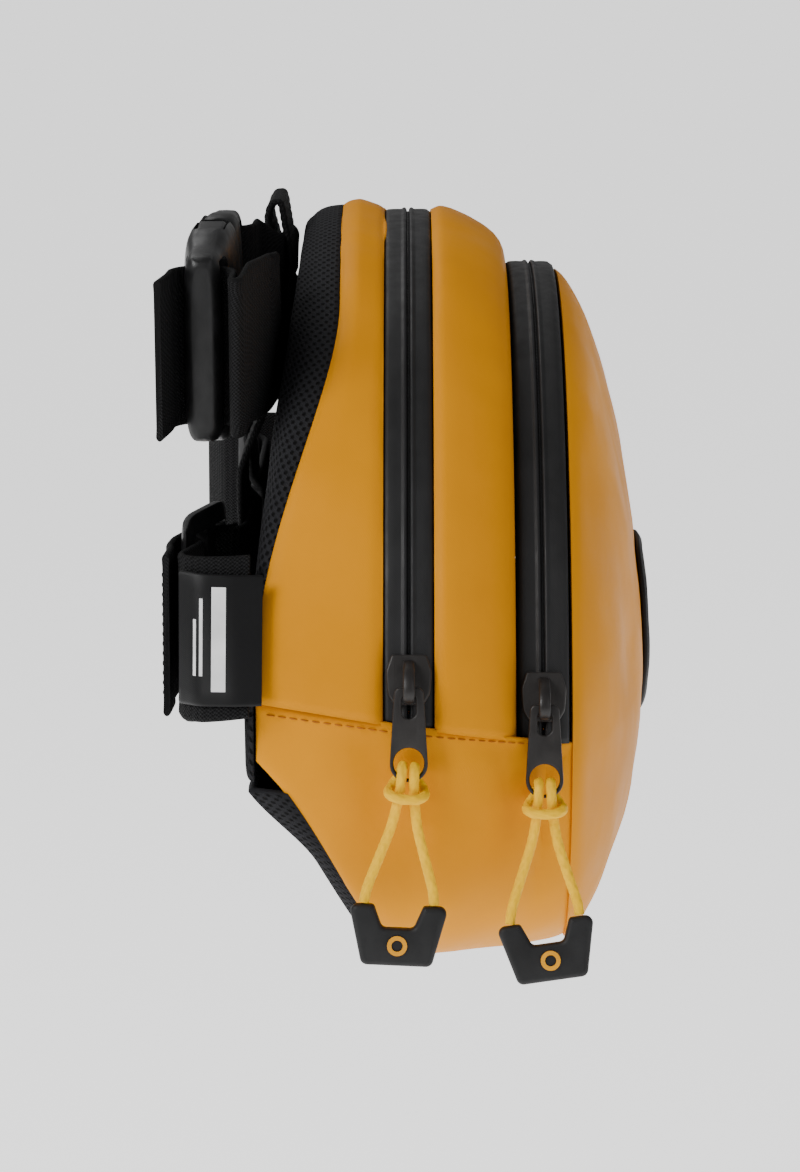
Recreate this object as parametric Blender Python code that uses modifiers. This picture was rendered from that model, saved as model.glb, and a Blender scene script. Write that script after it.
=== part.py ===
"""Waist bag with two arched zips, a padded back and a folded belt with a side-release buckle.

Metres, +Z up, the bag's front faces -Y and its length lies along X. The origin is at the middle
of the back pad's rear face, level with the belt, where the bag bears on its wearer. Lengths below
are in millimetres: x along the bag, depth forward of the main zip's rear edge, z above the bag's
flat bottom. place() turns them into metres in the part's own frame.
"""

import math

import bmesh
import bpy
from mathutils import Matrix, Vector

MM = 0.001

# Bag body. DEPTH values count forward from the main zip's rear seam plane, so Y = -depth.
ARCH_HEIGHT = 36.0        # height of the axis that both zips curve about
ARCH_END = 77.0           # the arch runs this many degrees to each side of the top
SKIN = 1.6                # coated fabric with its lining
GAP = 0.3
CORNER = 55.0             # bottom corner radius
CENTRE_HEIGHT = 60.0      # the panels' grids fan out from here
REAR_RADIUS = 139.4
MAIN_RADIUS = 137.0       # outer face of the main zip's tape
FRONT_RADIUS = 123.5      # outer face of the front zip's tape
MAIN_DEPTH = 2.0          # zip centre lines
FRONT_DEPTH = 33.3
TAPE_HALF = 6.3
SLOT_HALF = 0.9           # half the parting between the two tapes
FRONT_EDGE = 40.2         # where the front panel starts
FRONT_BULGE = 21.8
BACK_MIDDLE = 25.0        # the back pad's depth behind the plane at its middle
BACK_CURVE = 13.0         # and how much further back its two ends reach
BACK_FLOOR = 52.0
BELT_HEIGHT = 85.0        # middle of the belt above the bottom

# Zip sliders and their pulls
MAIN_REST = -73.0         # where each slider rests on its arc, in degrees from the top
FRONT_REST = -74.2
PIVOT_HEIGHT = {"main": 5.8, "front": 6.8}
TAB_LEAN = {"main": 8.5, "front": 5.5}      # degrees in from the tape's tangent
LOOP_LEAN = {"main": 10.0, "front": 4.5}
TAB_HOLE = 16.3           # from pivot to hole
TAB_HANG = 2.9            # the pivot sits this far below the slider's middle
LOOP_TURN = {"main": 4.0, "front": 0.0}      # degrees that each loop hangs to the rear
GRIP_TILT = {"main": 1.5, "front": 8.0}      # how far its grip hangs lower at the rear
TAB_THICK = 1.5
HOLE_RADIUS = 3.5
CORD = 2.4
GRIP_TOP = 32.5           # from hole to the grip's upper edge
GRIP_HEIGHT = 13.8
GRIP_THICK = 4.2
STRAND_END = 8.0          # half the spread of the two strands at the grip

# Belt
WEB = 38.0
WEB_THICK = 1.4
GLIDE_CENTRE = (-90.0, -46.5, 85.0)
GLIDE_YAW = 14.0
BUCKLE_CENTRE = (-64.0, -44.5, 151.0)
BUCKLE_YAW = 3.0
BUCKLE_PITCH = 5.0

YELLOW = (0.76, 0.31, 0.006)
CORD_YELLOW = (0.94, 0.52, 0.01)
BLACK = (0.02, 0.02, 0.021)


def clear_scene():
    for obj in list(bpy.data.objects):
        bpy.data.objects.remove(obj, do_unlink=True)


def make_collection(name):
    collection = bpy.data.collections.new(name)
    bpy.context.scene.collection.children.link(collection)
    return collection


clear_scene()
BAG = make_collection("waist_bag")
CUTTERS = make_collection("cutters")


def material(name, color, roughness, metallic=0.0):
    made = bpy.data.materials.new(name)
    made.use_nodes = True
    shader = made.node_tree.nodes["Principled BSDF"]
    shader.inputs["Base Color"].default_value = (*color, 1.0)
    shader.inputs["Roughness"].default_value = roughness
    shader.inputs["Metallic"].default_value = metallic
    return made


FABRIC = material("coated_fabric", YELLOW, 0.45)
MESH = material("air_mesh", (0.045, 0.045, 0.05), 0.9)
FOAM = material("foam", (0.03, 0.03, 0.03), 0.95)
TAPE = material("zip_tape", (0.026, 0.026, 0.027), 0.55)
COIL = material("zip_coil", BLACK, 0.4)
METAL = material("painted_metal", (0.04, 0.036, 0.036), 0.4, 0.6)
CORD_FINISH = material("cord", CORD_YELLOW, 0.7)
RUBBER = material("grip_rubber", (0.025, 0.025, 0.026), 0.6)
WEBBING = material("webbing", (0.016, 0.016, 0.017), 0.85)
PLASTIC = material("buckle_plastic", (0.02, 0.02, 0.022), 0.45)
SATIN = material("satin_label", (0.02, 0.02, 0.022), 0.35)
LINING = material("lining", (0.06, 0.06, 0.065), 0.8)


def place(x, depth, z):
    """A point in the part's frame from millimetres: along the bag, forward, and up."""
    return Vector((x * MM, -(depth + BACK_MIDDLE) * MM, (z - BELT_HEIGHT) * MM))


def smoothstep(t):
    t = min(max(t, 0.0), 1.0)
    return t * t * (3.0 - 2.0 * t)


def between(table, value):
    """Straight-line interpolation in a short list of (value, result) pairs."""
    if value <= table[0][0]:
        return table[0][1]
    for (a, low), (b, high) in zip(table, table[1:]):
        if value <= b:
            return low + (high - low) * (value - a) / (b - a)
    return table[-1][1]


def add(obj, finish, collection=None, parent=None):
    (collection or BAG).objects.link(obj)
    obj.data.materials.append(finish)
    obj.parent = parent
    return obj


def empty(name, location, rotation_y=0.0, parent=None):
    obj = bpy.data.objects.new(name, None)
    BAG.objects.link(obj)
    obj.parent = parent
    obj.location = location
    obj.rotation_euler = (0.0, math.radians(rotation_y), 0.0)
    obj.empty_display_size = 0.01
    return obj


def solidify(obj, thickness, offset=-1.0):
    modifier = obj.modifiers.new("Thickness", "SOLIDIFY")
    modifier.thickness = thickness * MM
    modifier.offset = offset
    modifier.use_even_offset = False


def sheet(name, rows, finish, thickness=SKIN, offset=-1.0, loop=False, centre=None):
    """An open surface over a grid of points, thickened. Rows that loop close on themselves."""
    points = [point for row in rows for point in row]
    wide = len(rows[0])
    faces = []
    for i in range(len(rows) - 1):
        for j in range(wide if loop else wide - 1):
            k = (j + 1) % wide
            faces.append((i * wide + j, i * wide + k, (i + 1) * wide + k, (i + 1) * wide + j))
    if centre is not None:
        points.append(centre)
        last = (len(rows) - 1) * wide
        for j in range(wide):
            faces.append((last + j, last + (j + 1) % wide, len(points) - 1))
    mesh = bpy.data.meshes.new(name)
    mesh.from_pydata(points, [], faces)
    mesh.update()
    obj = add(bpy.data.objects.new(name, mesh), finish)
    solidify(obj, thickness, offset)
    mesh.shade_smooth()
    mesh.set_sharp_from_angle(angle=math.radians(40))
    return obj


def flat(name, outlines, thickness, finish, parent=None, collection=None):
    """A flat outline in its own XY plane, with any further outlines cut out of it as holes."""
    curve = bpy.data.curves.new(name, "CURVE")
    curve.dimensions = "2D"
    curve.fill_mode = "BOTH"
    curve.extrude = thickness / 2 * MM
    for outline in outlines:
        spline = curve.splines.new("POLY")
        spline.points.add(len(outline) - 1)
        for point, (x, y) in zip(spline.points, outline):
            point.co = (x * MM, y * MM, 0.0, 1.0)
        spline.use_cyclic_u = True
    return add(bpy.data.objects.new(name, curve), finish, collection, parent)


def box(name, low, high, finish, parent=None, collection=None, bevel=0.0):
    """A box between two corners in millimetres, in its parent's frame."""
    bpy.ops.mesh.primitive_cube_add(size=1.0)
    obj = bpy.context.object
    obj.name = name
    for old in list(obj.users_collection):
        old.objects.unlink(obj)
    size = [(b - a) * MM for a, b in zip(low, high)]
    middle = Vector([(a + b) / 2 * MM for a, b in zip(low, high)])
    obj.data.transform(Matrix.Translation(middle) @ Matrix.Diagonal((*size, 1.0)))
    add(obj, finish, collection, parent)
    if bevel:
        modifier = obj.modifiers.new("Round", "BEVEL")
        modifier.width = bevel * MM
        modifier.segments = 2
    return obj


def as_mesh(obj):
    """Replaces a curve by the mesh that it draws, with its caps welded on."""
    bpy.context.view_layer.update()
    graph = bpy.context.evaluated_depsgraph_get()
    mesh = bpy.data.meshes.new_from_object(obj.evaluated_get(graph))
    work = bmesh.new()
    work.from_mesh(mesh)
    bmesh.ops.remove_doubles(work, verts=work.verts, dist=1e-6)
    bmesh.ops.recalc_face_normals(work, faces=work.faces)
    work.to_mesh(mesh)
    work.free()
    name, parent, matrix = obj.name, obj.parent, obj.matrix_basis.copy()
    homes = list(obj.users_collection)
    bpy.data.objects.remove(obj, do_unlink=True)
    made = bpy.data.objects.new(name, mesh)
    for home in homes:
        home.objects.link(made)
    made.parent = parent
    made.matrix_basis = matrix
    return made


def hide(obj):
    obj.hide_render = True
    obj.display_type = "WIRE"
    for home in list(obj.users_collection):
        home.objects.unlink(obj)
    CUTTERS.objects.link(obj)
    return obj


def combine(obj, other, operation):
    modifier = obj.modifiers.new(operation.title() + " " + other.name, "BOOLEAN")
    modifier.operation = operation
    modifier.solver = "EXACT"
    modifier.object = hide(other)
    return obj


def arc_point(radius, angle, depth):
    turn = math.radians(angle)
    return place(radius * math.sin(turn), depth, ARCH_HEIGHT + radius * math.cos(turn))


# ---------------------------------------------------------------- bag body

def half_width(depth):
    """Half the bag's length below the arch, which narrows towards the front."""
    return between([(8, 134.0), (13, 133.2), (26, 127.0), (33, 122.5), (40, 118.9)], depth)


def arch_end(depth):
    """Where the arch meets the bottom panel, in degrees from the top: lower towards the front."""
    return between([(-33.0, 75.2), (2.0, 77.6), (40.0, 79.4)], depth)


def back_seam(angle):
    """Depth of the seam between the rear gusset and the back pad, along the arch."""
    return -14.5 - 18.8 * smoothstep((abs(angle) - 30.0) / 45.0)


def lower_path(depth, corner_steps=7, floor_steps=6):
    """The bag's outline below the arch, from its left side round the bottom to its right side."""
    width = half_width(depth)
    seam = ARCH_HEIGHT + (width - 0.5) / math.tan(math.radians(arch_end(depth)))
    path = [(-width + 0.5, seam - GAP)]
    for step in range(corner_steps + 1):
        turn = math.radians(90.0 * step / corner_steps)
        path.append((-width + CORNER - CORNER * math.cos(turn), CORNER - CORNER * math.sin(turn)))
    half = [(x, z) for x, z in path]
    for step in range(1, floor_steps):
        path.append((half[-1][0] * (1.0 - 2.0 * step / floor_steps), 0.0))
    path.extend((-x, z) for x, z in reversed(half))
    return path


def outline(depth, arch_steps=30):
    """The bag's whole outline as (x, z), clockwise seen from behind, from the left seam up."""
    radius = (half_width(depth) - 0.5) / math.sin(math.radians(ARCH_END))
    loop = []
    for step in range(arch_steps + 1):
        turn = math.radians(-ARCH_END + 2.0 * ARCH_END * step / arch_steps)
        loop.append((radius * math.sin(turn), ARCH_HEIGHT + radius * math.cos(turn)))
    loop.extend(reversed(lower_path(depth)[1:-1]))
    return loop


def bulge(share):
    """How far the front panel stands out, from 1 at its middle to 0 at its edge."""
    return 1.0 - 0.78 * share ** 2 - 0.22 * share ** 8


def inward(loop, share):
    return [(x * share, CENTRE_HEIGHT + (z - CENTRE_HEIGHT) * share) for x, z in loop]


def arch_angles(end, steps=36):
    return [-end + 2.0 * end * step / steps for step in range(steps + 1)]


def rear_gusset():
    rows = []
    for step in range(4):
        share = step / 3
        row = []
        for angle in arch_angles(arch_end(-33.3 + 28.7 * share) - 0.15):
            depth = back_seam(angle)
            depth += (MAIN_DEPTH - TAPE_HALF - GAP - depth) * share
            row.append(arc_point(REAR_RADIUS - 1.4 * share, angle, depth))
        rows.append(row)
    sheet("rear_gusset", rows[::-1], FABRIC)


def middle_gusset():
    profile = [(8.7, 138.0), (12.9, 137.2), (19.5, 134.4), (24.6, 130.6), (26.6, 126.6)]
    rows = [
        [arc_point(radius, angle, depth) for angle in arch_angles(arch_end(depth) - 0.15)]
        for depth, radius in profile
    ]
    sheet("middle_gusset", rows[::-1], FABRIC)


def front_panel():
    loop = outline(FRONT_EDGE)
    rows = [[place(x, FRONT_EDGE, z) for x, z in reversed(loop)]]
    for share in (0.998, 0.95, 0.87, 0.75, 0.6, 0.42, 0.22):
        depth = FRONT_EDGE + 1.0 + (FRONT_BULGE - 1.0) * bulge(share)
        rows.append([place(x, depth, z) for x, z in reversed(inward(loop, share))])
    top = place(0.0, FRONT_EDGE + FRONT_BULGE, CENTRE_HEIGHT)
    sheet("front_panel", rows, FABRIC, loop=True, centre=top)


def rear_edge(height):
    """Depth of the bottom panel's rear edge at this height."""
    return -33.0 + 32.0 * max(0.0, (57.0 - height) / 57.0) ** 0.75


def bottom_panel():
    rows = []
    for step in range(9):
        share = step / 8
        row = []
        for column in range(len(lower_path(0.0))):
            depth = 0.0
            for _ in range(3):
                x, z = lower_path(depth)[column]
                start = rear_edge(z)
                depth = start + (FRONT_EDGE - GAP - start) * share
            row.append(place(x, depth, z))
        rows.append(row)
    sheet("bottom_panel", rows, FABRIC)


def back_face(x):
    return -BACK_MIDDLE - BACK_CURVE * (min(abs(x), 134.0) / 134.0) ** 2.4


def back_loop(width, floor):
    """The back pad's outline as (x, z, depth of the seam)."""
    radius = width / math.sin(math.radians(ARCH_END))
    loop = []
    for angle in arch_angles(ARCH_END, steps=34):
        turn = math.radians(angle)
        loop.append((radius * math.sin(turn), ARCH_HEIGHT + radius * math.cos(turn), back_seam(angle)))
    side = loop[-1][0]
    loop.append((side - 1.0, floor + 4.0, back_seam(ARCH_END)))
    for step in range(7):
        loop.append(((side - 4.0) * (1.0 - step / 3), floor, back_seam(ARCH_END)))
    loop.append((-side + 1.0, floor + 4.0, back_seam(ARCH_END)))
    return loop


def back_panel():
    loop = back_loop(134.6, BACK_FLOOR)
    rows = [[place(x, depth - GAP, z) for x, z, depth in loop]]
    for share, behind in ((1.0, 0.6), (0.97, 0.95), (0.9, 1.0), (0.6, 1.0), (0.3, 1.0)):
        row = []
        for x, z, depth in loop:
            near = x * share
            height = 96.0 + (z - 96.0) * share
            row.append(place(near, depth + (back_face(near) - depth) * behind, height))
        rows.append(row)
    middle = place(0.0, -BACK_MIDDLE, 96.0)
    sheet("back_panel", rows, MESH, thickness=2.4, loop=True, centre=middle)


def back_foam():
    loop = back_loop(128.0, BACK_FLOOR + 6.0)
    rows = []
    for share in (1.0, 0.7, 0.35):
        row = []
        for x, z, _ in loop:
            near = x * share
            row.append(place(near, back_face(near) + 3.6, 98.0 + (z - 98.0) * share))
        rows.append(row)
    middle = place(0.0, 3.6 - BACK_MIDDLE, 98.0)
    sheet("back_foam", rows, FOAM, thickness=4.0, loop=True, centre=middle)


def lower_width(height):
    """Half the bag's length at a height below the arch, behind the zips."""
    if height >= CORNER:
        return 134.0
    return 134.0 - CORNER + math.sqrt(CORNER ** 2 - (CORNER - height) ** 2)


def lower_back_panel():
    rows = []
    for height in (BACK_FLOOR - 2.4, 44.0, 34.0, 24.0, 14.0, 7.0, 3.4):
        side = lower_width(height - 2.6) - 1.6
        depth = rear_edge(height) - 0.2
        rows.append([place(side * (step / 5 - 1.0), depth, height) for step in range(11)])
    sheet("lower_back_panel", rows, MESH)


def divider():
    loop = outline(27.0, arch_steps=18)
    rows = [[place(x, 25.0, z + 3.0) for x, z in inward(loop, share)] for share in (0.93, 0.5)]
    sheet("divider", rows, LINING, thickness=0.9, loop=True, centre=place(0, 25.0, CENTRE_HEIGHT + 3.0))


def dome_depth(x, z):
    """Depth of the front panel's outer face near its middle."""
    loop = outline(FRONT_EDGE)
    angle = math.atan2(x, z - CENTRE_HEIGHT)
    reach = min(
        loop,
        key=lambda point: abs(
            math.remainder(math.atan2(point[0], point[1] - CENTRE_HEIGHT) - angle, math.tau)
        ),
    )
    full = math.hypot(reach[0], reach[1] - CENTRE_HEIGHT)
    return FRONT_EDGE + 1.0 + (FRONT_BULGE - 1.0) * bulge(math.hypot(x, z - CENTRE_HEIGHT) / full)


def front_patch():
    rows = []
    for height, side in ((88.0, 24.0), (80.0, 25.0), (70.0, 25.0), (60.0, 24.0), (50.0, 15.0), (42.0, 4.0)):
        row = []
        for step in range(7):
            x = side * (step / 3 - 1.0)
            row.append(place(x, dome_depth(x, height) + 0.9, height))
        rows.append(row)
    sheet("front_patch", rows, SATIN, thickness=1.0)


# ---------------------------------------------------------------- zips

def zip_strip(name, radius, thickness, low, high, finish, end):
    """A flat strip along the arch, its outer face at the given radius."""
    rows = [[arc_point(radius, angle, depth) for depth in (low, high)]
            for angle in arch_angles(end, steps=40)]
    return sheet(name, rows, finish, thickness=thickness)


def zip_assembly(zip_name, radius, depth, rest):
    end = arch_end(depth - TAPE_HALF) - 0.15
    for side, low, high in (
        ("rear", depth - TAPE_HALF, depth - SLOT_HALF),
        ("front", depth + SLOT_HALF, depth + TAPE_HALF - 0.3),
    ):
        zip_strip(f"{zip_name}_zip_tape_{side}", radius, 0.9, low, high, TAPE, end)
    for side, low, high in (
        ("rear", depth - SLOT_HALF - 2.6, depth - SLOT_HALF),
        ("front", depth + SLOT_HALF, depth + SLOT_HALF + 2.6),
    ):
        zip_strip(f"{zip_name}_zip_coil_{side}", radius - 1.2, 1.2, low, high, COIL, end - 1.3)
    for side, sign in (("left", -1.0), ("right", 1.0)):
        frame = empty(f"{zip_name}_stop_{side}_place", arc_point(radius, sign * (end - 0.55), depth),
                      sign * (end - 0.55))
        box(f"{zip_name}_zip_stop_{side}", (-0.9, -3.4, -2.6), (0.9, 3.4, -1.2), METAL, frame)
    slider(zip_name, radius, depth, rest)


def rounded(width_top, width_bottom, top, bottom, corner_top, corner_bottom, steps=5):
    """A tapered tab outline with rounded corners, running from x = -top down to x = -bottom."""
    corners = (
        (-top, -width_top, corner_top, 0.0),
        (-bottom, -width_bottom, corner_bottom, 90.0),
        (-bottom, width_bottom, corner_bottom, 180.0),
        (-top, width_top, corner_top, 270.0),
    )
    points = []
    for x, y, corner, start in corners:
        cx = x + (corner if x == -bottom else -corner)
        cy = y + (corner if y < 0 else -corner)
        for step in range(steps + 1):
            turn = math.radians(start + 90.0 * step / steps)
            points.append((cx + corner * math.cos(turn), cy - corner * math.sin(turn)))
    return points


def circle(x, y, radius, steps=20):
    turns = [math.tau * step / steps for step in range(steps)]
    return [(x + radius * math.cos(turn), y + radius * math.sin(turn)) for turn in turns]


def slider(zip_name, radius, depth, rest):
    """The slider, pull tab and cord loop. In their frames -X points down the zip and Z outward."""
    height = PIVOT_HEIGHT[zip_name]
    frame = empty(f"{zip_name}_slider_frame", arc_point(radius, rest, depth), rest)
    body = box(f"{zip_name}_slider", (-5.4, -5.0, 0.4), (5.4, 5.0, 2.0), METAL, frame, bevel=0.5)
    web = box(f"{zip_name}_slider_web", (0.5, -0.5, -3.4), (4.6, 0.5, 1.0), METAL, frame)
    under = box(f"{zip_name}_slider_under", (-5.0, -4.6, -4.6), (5.0, 4.6, -2.9), METAL, frame)
    bail = []
    for reach, rise in ((4.9, height + 2.9), (3.5, height + 1.6)):
        arch = []
        for step in range(13):
            turn = math.radians(180.0 * step / 12)
            along = reach * math.cos(turn) - 2.6 * math.sin(turn)
            arch.append((along, 1.2 + (rise - 1.2) * math.sin(turn) ** 0.7))
        bail.append(arch)
    band = flat(f"{zip_name}_slider_bail", [bail[0] + bail[1][::-1]], 2.4, METAL, frame)
    band.rotation_euler = (math.radians(90.0), 0.0, 0.0)
    band = as_mesh(band)
    for piece in (web, under, band):
        combine(body, piece, "UNION")
    pivot = (-TAB_HANG * MM, 0.0, height * MM)
    tab_frame = empty(f"{zip_name}_pull_pivot", pivot, -TAB_LEAN[zip_name], frame)
    slot = rounded(1.7, 1.7, 0.8, 6.2, 1.6, 1.6, steps=4)
    plate = rounded(3.3, 4.6, -0.9, 20.6, 1.6, 4.0)
    hole = circle(-TAB_HOLE, 0.0, HOLE_RADIUS)
    flat(f"{zip_name}_pull_tab", [plate, slot, hole], TAB_THICK, METAL, tab_frame)
    lean = LOOP_LEAN[zip_name] - TAB_LEAN[zip_name]
    loop_frame = empty(f"{zip_name}_loop_pivot", (-TAB_HOLE * MM, 0.0, 0.0), -lean, tab_frame)
    loop_frame.rotation_euler.z = -math.radians(LOOP_TURN[zip_name])
    cord(zip_name, loop_frame)
    grip(zip_name, loop_frame)


def cord_route():
    """Half of the hitch: from the middle of its front bight round the tab's lower rim and down
    one strand to the grip, as (across, down, outward) from the tab's hole in millimetres."""
    return [
        (0.0, 7.9, 4.5),
        (2.2, 7.8, 4.3),
        (3.8, 7.2, 2.75),
        (4.1, 6.6, 0.2),
        (3.5, 5.6, -1.9),
        (2.2, 3.6, -2.5),
        (1.5, 1.6, -1.9),
        (1.35, 0.7, 0.0),
        (1.35, 1.5, 1.9),
        (1.45, 3.6, 2.45),
        (1.6, 6.2, 2.05),
        (2.0, 9.4, 1.3),
        (3.1, 15.0, 0.5),
        (5.3, 22.0, 0.1),
        (7.4, 28.6, 0.0),
        (STRAND_END, GRIP_TOP - GAP, 0.0),
    ]


def smooth_route(route, per_span):
    """Points along a smooth curve through the route's own points."""
    padded = [route[0]] + list(route) + [route[-1]]
    made = []
    for a, b, c, d in zip(padded, padded[1:], padded[2:], padded[3:]):
        for step in range(per_span):
            t = step / per_span
            made.append(
                tuple(
                    0.5 * (2 * q + (r - p) * t + (2 * p - 5 * q + 4 * r - s) * t ** 2
                           + (3 * q - p - 3 * r + s) * t ** 3)
                    for p, q, r, s in zip(a, b, c, d)
                )
            )
    made.append(tuple(route[-1]))
    return made


def cord(zip_name, frame):
    half = cord_route()
    whole = [(-across, down, out) for across, down, out in reversed(half[1:])] + half
    slope = math.tan(math.radians(GRIP_TILT[zip_name]))
    hung = [(across, down + slope * across * (down / GRIP_TOP) ** 3, out) for across, down, out in whole]
    route = smooth_route(hung, 2)
    curve = bpy.data.curves.new(f"{zip_name}_pull_cord", "CURVE")
    curve.dimensions = "3D"
    curve.bevel_depth = CORD / 2 * MM
    curve.bevel_resolution = 2
    curve.use_fill_caps = True
    spline = curve.splines.new("POLY")
    spline.points.add(len(route) - 1)
    for point, (across, down, out) in zip(spline.points, route):
        point.co = (-down * MM, across * MM, out * MM, 1.0)
    add(bpy.data.objects.new(f"{zip_name}_pull_cord", curve), CORD_FINISH, parent=frame)


def grip(zip_name, frame):
    top, bottom = GRIP_TOP, GRIP_TOP + GRIP_HEIGHT
    half = [
        (3.6, top + 5.2), (5.7, top), (10.6, top), (11.5, top + 1.4), (8.4, bottom - 0.4), (7.6, bottom),
    ]
    points = [(-down, across) for across, down in half]
    points += [(-down, -across) for across, down in reversed(half)]
    tilt = math.radians(GRIP_TILT[zip_name])
    turned = empty(f"{zip_name}_grip_place", (-top * MM, 0.0, 0.0), 0.0, frame)
    turned.rotation_euler.z = tilt
    points = [(x + top, y) for x, y in points]
    body = flat(f"{zip_name}_grip", [points], GRIP_THICK, RUBBER, turned)
    weld = body.modifiers.new("Weld", "WELD")
    weld.merge_threshold = 0.00001
    bevel = body.modifiers.new("Round", "BEVEL")
    bevel.width = 0.5 * MM
    bevel.segments = 1
    outer = circle(4.7 - GRIP_HEIGHT, 0.0, 2.3)
    inner = circle(4.7 - GRIP_HEIGHT, 0.0, 1.3)
    badge = flat(f"{zip_name}_badge", [outer, inner], 0.3, CORD_FINISH, turned)
    badge.location = (0.0, 0.0, (GRIP_THICK / 2 + 0.3) * MM)


# ---------------------------------------------------------------- belt

def ribbon(name, rows, finish=WEBBING, thickness=WEB_THICK):
    """Webbing along rows of (centre, half-width vector), both as (x, depth, z) in millimetres."""
    grid = []
    for (x, depth, z), (hx, hd, hz) in rows:
        grid.append([place(x + hx * side, depth + hd * side, z + hz * side) for side in (-1, 1)])
    obj = sheet(name, grid, finish, thickness=thickness, offset=0.0)
    return obj


UP = (0.0, 0.0, WEB / 2)


def glide_point(sign, along, out):
    """A point beside the adjuster: along its length towards the bag's middle, and out behind."""
    turn = math.radians(GLIDE_YAW)
    x = GLIDE_CENTRE[0] + along * math.cos(turn) + out * math.sin(turn)
    depth = GLIDE_CENTRE[1] + along * math.sin(turn) - out * math.cos(turn)
    return (-sign * x, depth, GLIDE_CENTRE[2])


def wall(sign, share):
    """Half the webbing's width, leaning with the bag's side at its seam and upright at share 1."""
    lean = math.radians(21.0) * (1.0 - share)
    return (-sign * WEB / 2 * math.sin(lean), 0.0, WEB / 2 * math.cos(lean))


def belt_start(sign):
    """From the side seam, through the adjuster's two slots, towards the bag's middle."""
    rows = [
        ((sign * 131.2, -34.4, 86.6), wall(sign, 0.0)),
        ((sign * 131.9, -40.0, 86.2), wall(sign, 0.1)),
        ((sign * 131.0, -45.0, 85.8), wall(sign, 0.3)),
        ((sign * 127.0, -49.2, 85.4), wall(sign, 0.6)),
        ((sign * 120.0, -50.6, 85.2), wall(sign, 0.9)),
    ]
    for along, out in (
        (-18.0, -2.8), (-11.0, -2.8), (-7.2, 0.0), (-4.2, 2.7), (4.2, 2.7), (6.4, 0.0),
        (8.0, -3.2), (11.0, -5.2), (18.0, -5.2),
    ):
        rows.append((glide_point(sign, along, out), UP))
    return rows


def adjuster(name, sign):
    turn = math.radians(GLIDE_YAW) * sign
    x, depth, z = glide_point(sign, 0.0, 0.0)
    place_frame = empty(f"{name}_place", place(x, depth, z))
    place_frame.rotation_euler = (0.0, 0.0, turn)
    body = box(name, (-16.0, -1.5, -25.0), (16.0, 1.5, 25.0), PLASTIC, place_frame, bevel=0.6)
    for side, low, high in (("a", -12.5, -3.0), ("b", 3.0, 12.5)):
        cutter = box(f"{name}_slot_{side}", (low, -4.0, -20.5), (high, 4.0, 20.5), PLASTIC, place_frame)
        combine(body, cutter, "DIFFERENCE")


def belt_tail(name, sign):
    """The belt's free end, out through the adjuster and back towards the side, hemmed double."""
    rows = []
    for along, out in (
        (16.5, -2.9), (14.0, -2.9), (11.3, -2.4), (9.9, 0.8), (7.2, 4.4), (0.0, 5.0),
        (-8.0, 5.0), (-16.0, 3.6), (-22.0, 1.6), (-33.0, -0.6),
    ):
        rows.append((glide_point(sign, along, out), UP))
    ribbon(name, rows)


def fold(centre, half, apart):
    """Two rows either side of a diagonal crease, so that the two layers lie a little apart."""
    x, depth, z = centre
    return [((x, depth, z), half), ((x, depth + apart, z), half)]


def belt_left():
    """Up behind the bag from a diagonal fold, then a second fold out to the buckle's near bar."""
    rows = belt_start(-1.0)
    rows += fold((-54.0, -37.2, 85.0), (WEB / 2, 0.0, WEB / 2), 2.2)
    across = (WEB / 2, 0.0, 0.0)
    for depth, height in ((-38.6, 107.0), (-38.6, 116.0), (-34.6, 126.0), (-32.4, 131.0)):
        rows.append(((-54.0, depth, height), across))
    rows += fold((-54.0, -31.6, 150.0), (WEB / 2, 0.0, -WEB / 2), 2.2)
    down = buckle_across(-WEB / 2)
    for x, depth in ((-76.0, -31.6), (-88.0, -33.6), (-98.0, -35.4)):
        rows.append(((x, depth, 150.0), (0.0, 0.0, -WEB / 2)))
    for along, out in (
        (-41.0, -9.8), (-42.6, -8.6), (-41.0, -7.6), (-34.0, -7.5), (-30.6, -7.5), (-27.3, -5.2),
        (-26.0, 0.0), (-27.3, 5.2), (-30.6, 7.5), (-36.0, 7.6), (-46.0, 9.0),
    ):
        rows.append((buckle_point(along, out), down))
    ribbon("belt_left", rows)


def belt_right():
    """Up behind the bag from a diagonal fold, through slack loops, to the buckle's far bar."""
    rows = belt_start(1.0)
    rows.append(((24.0, -37.0, 85.0), UP))
    rows += fold((-1.0, -37.6, 85.0), (-WEB / 2, 0.0, WEB / 2), 2.2)
    across = (-WEB / 2, 0.0, 0.0)
    loops = [
        (-38.0, 107.0), (-39.4, 120.0), (-38.8, 131.0), (-38.4, 139.0), (-35.4, 147.0),
        (-31.4, 152.0), (-32.8, 157.0), (-31.2, 164.0), (-33.6, 172.0), (-32.6, 176.4),
        (-30.0, 177.2), (-29.0, 171.0), (-27.6, 163.0), (-28.0, 156.0),
    ]
    for depth, height in loops:
        rows.append(((-1.0, depth, height), across))
    rows += fold((-1.0, -26.8, 149.0), (-WEB / 2, 0.0, -WEB / 2), -2.2)
    down = buckle_across(-WEB / 2)
    rows.append(((-22.0, -29.8, 149.6), (0.0, 0.0, -WEB / 2)))
    for along, out in (
        (40.0, -6.7), (31.6, -6.7), (28.4, -4.8), (27.2, 0.0), (28.4, 4.8), (31.6, 6.7), (43.0, 6.5),
    ):
        rows.append((buckle_point(along, out), down))
    ribbon("belt_right", rows)


def buckle_matrix():
    turn = Matrix.Rotation(math.radians(-BUCKLE_YAW), 4, "Z")
    pitch = Matrix.Rotation(math.radians(-BUCKLE_PITCH), 4, "Y")
    return Matrix.Translation(place(*BUCKLE_CENTRE)) @ turn @ pitch


def buckle_point(along, out):
    """A point beside the buckle as (x, depth, z): along its length and out behind it."""
    point = buckle_matrix() @ Vector((along * MM, out * MM, 0.0)) / MM
    return (point.x, -point.y - BACK_MIDDLE, point.z + BELT_HEIGHT)


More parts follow.
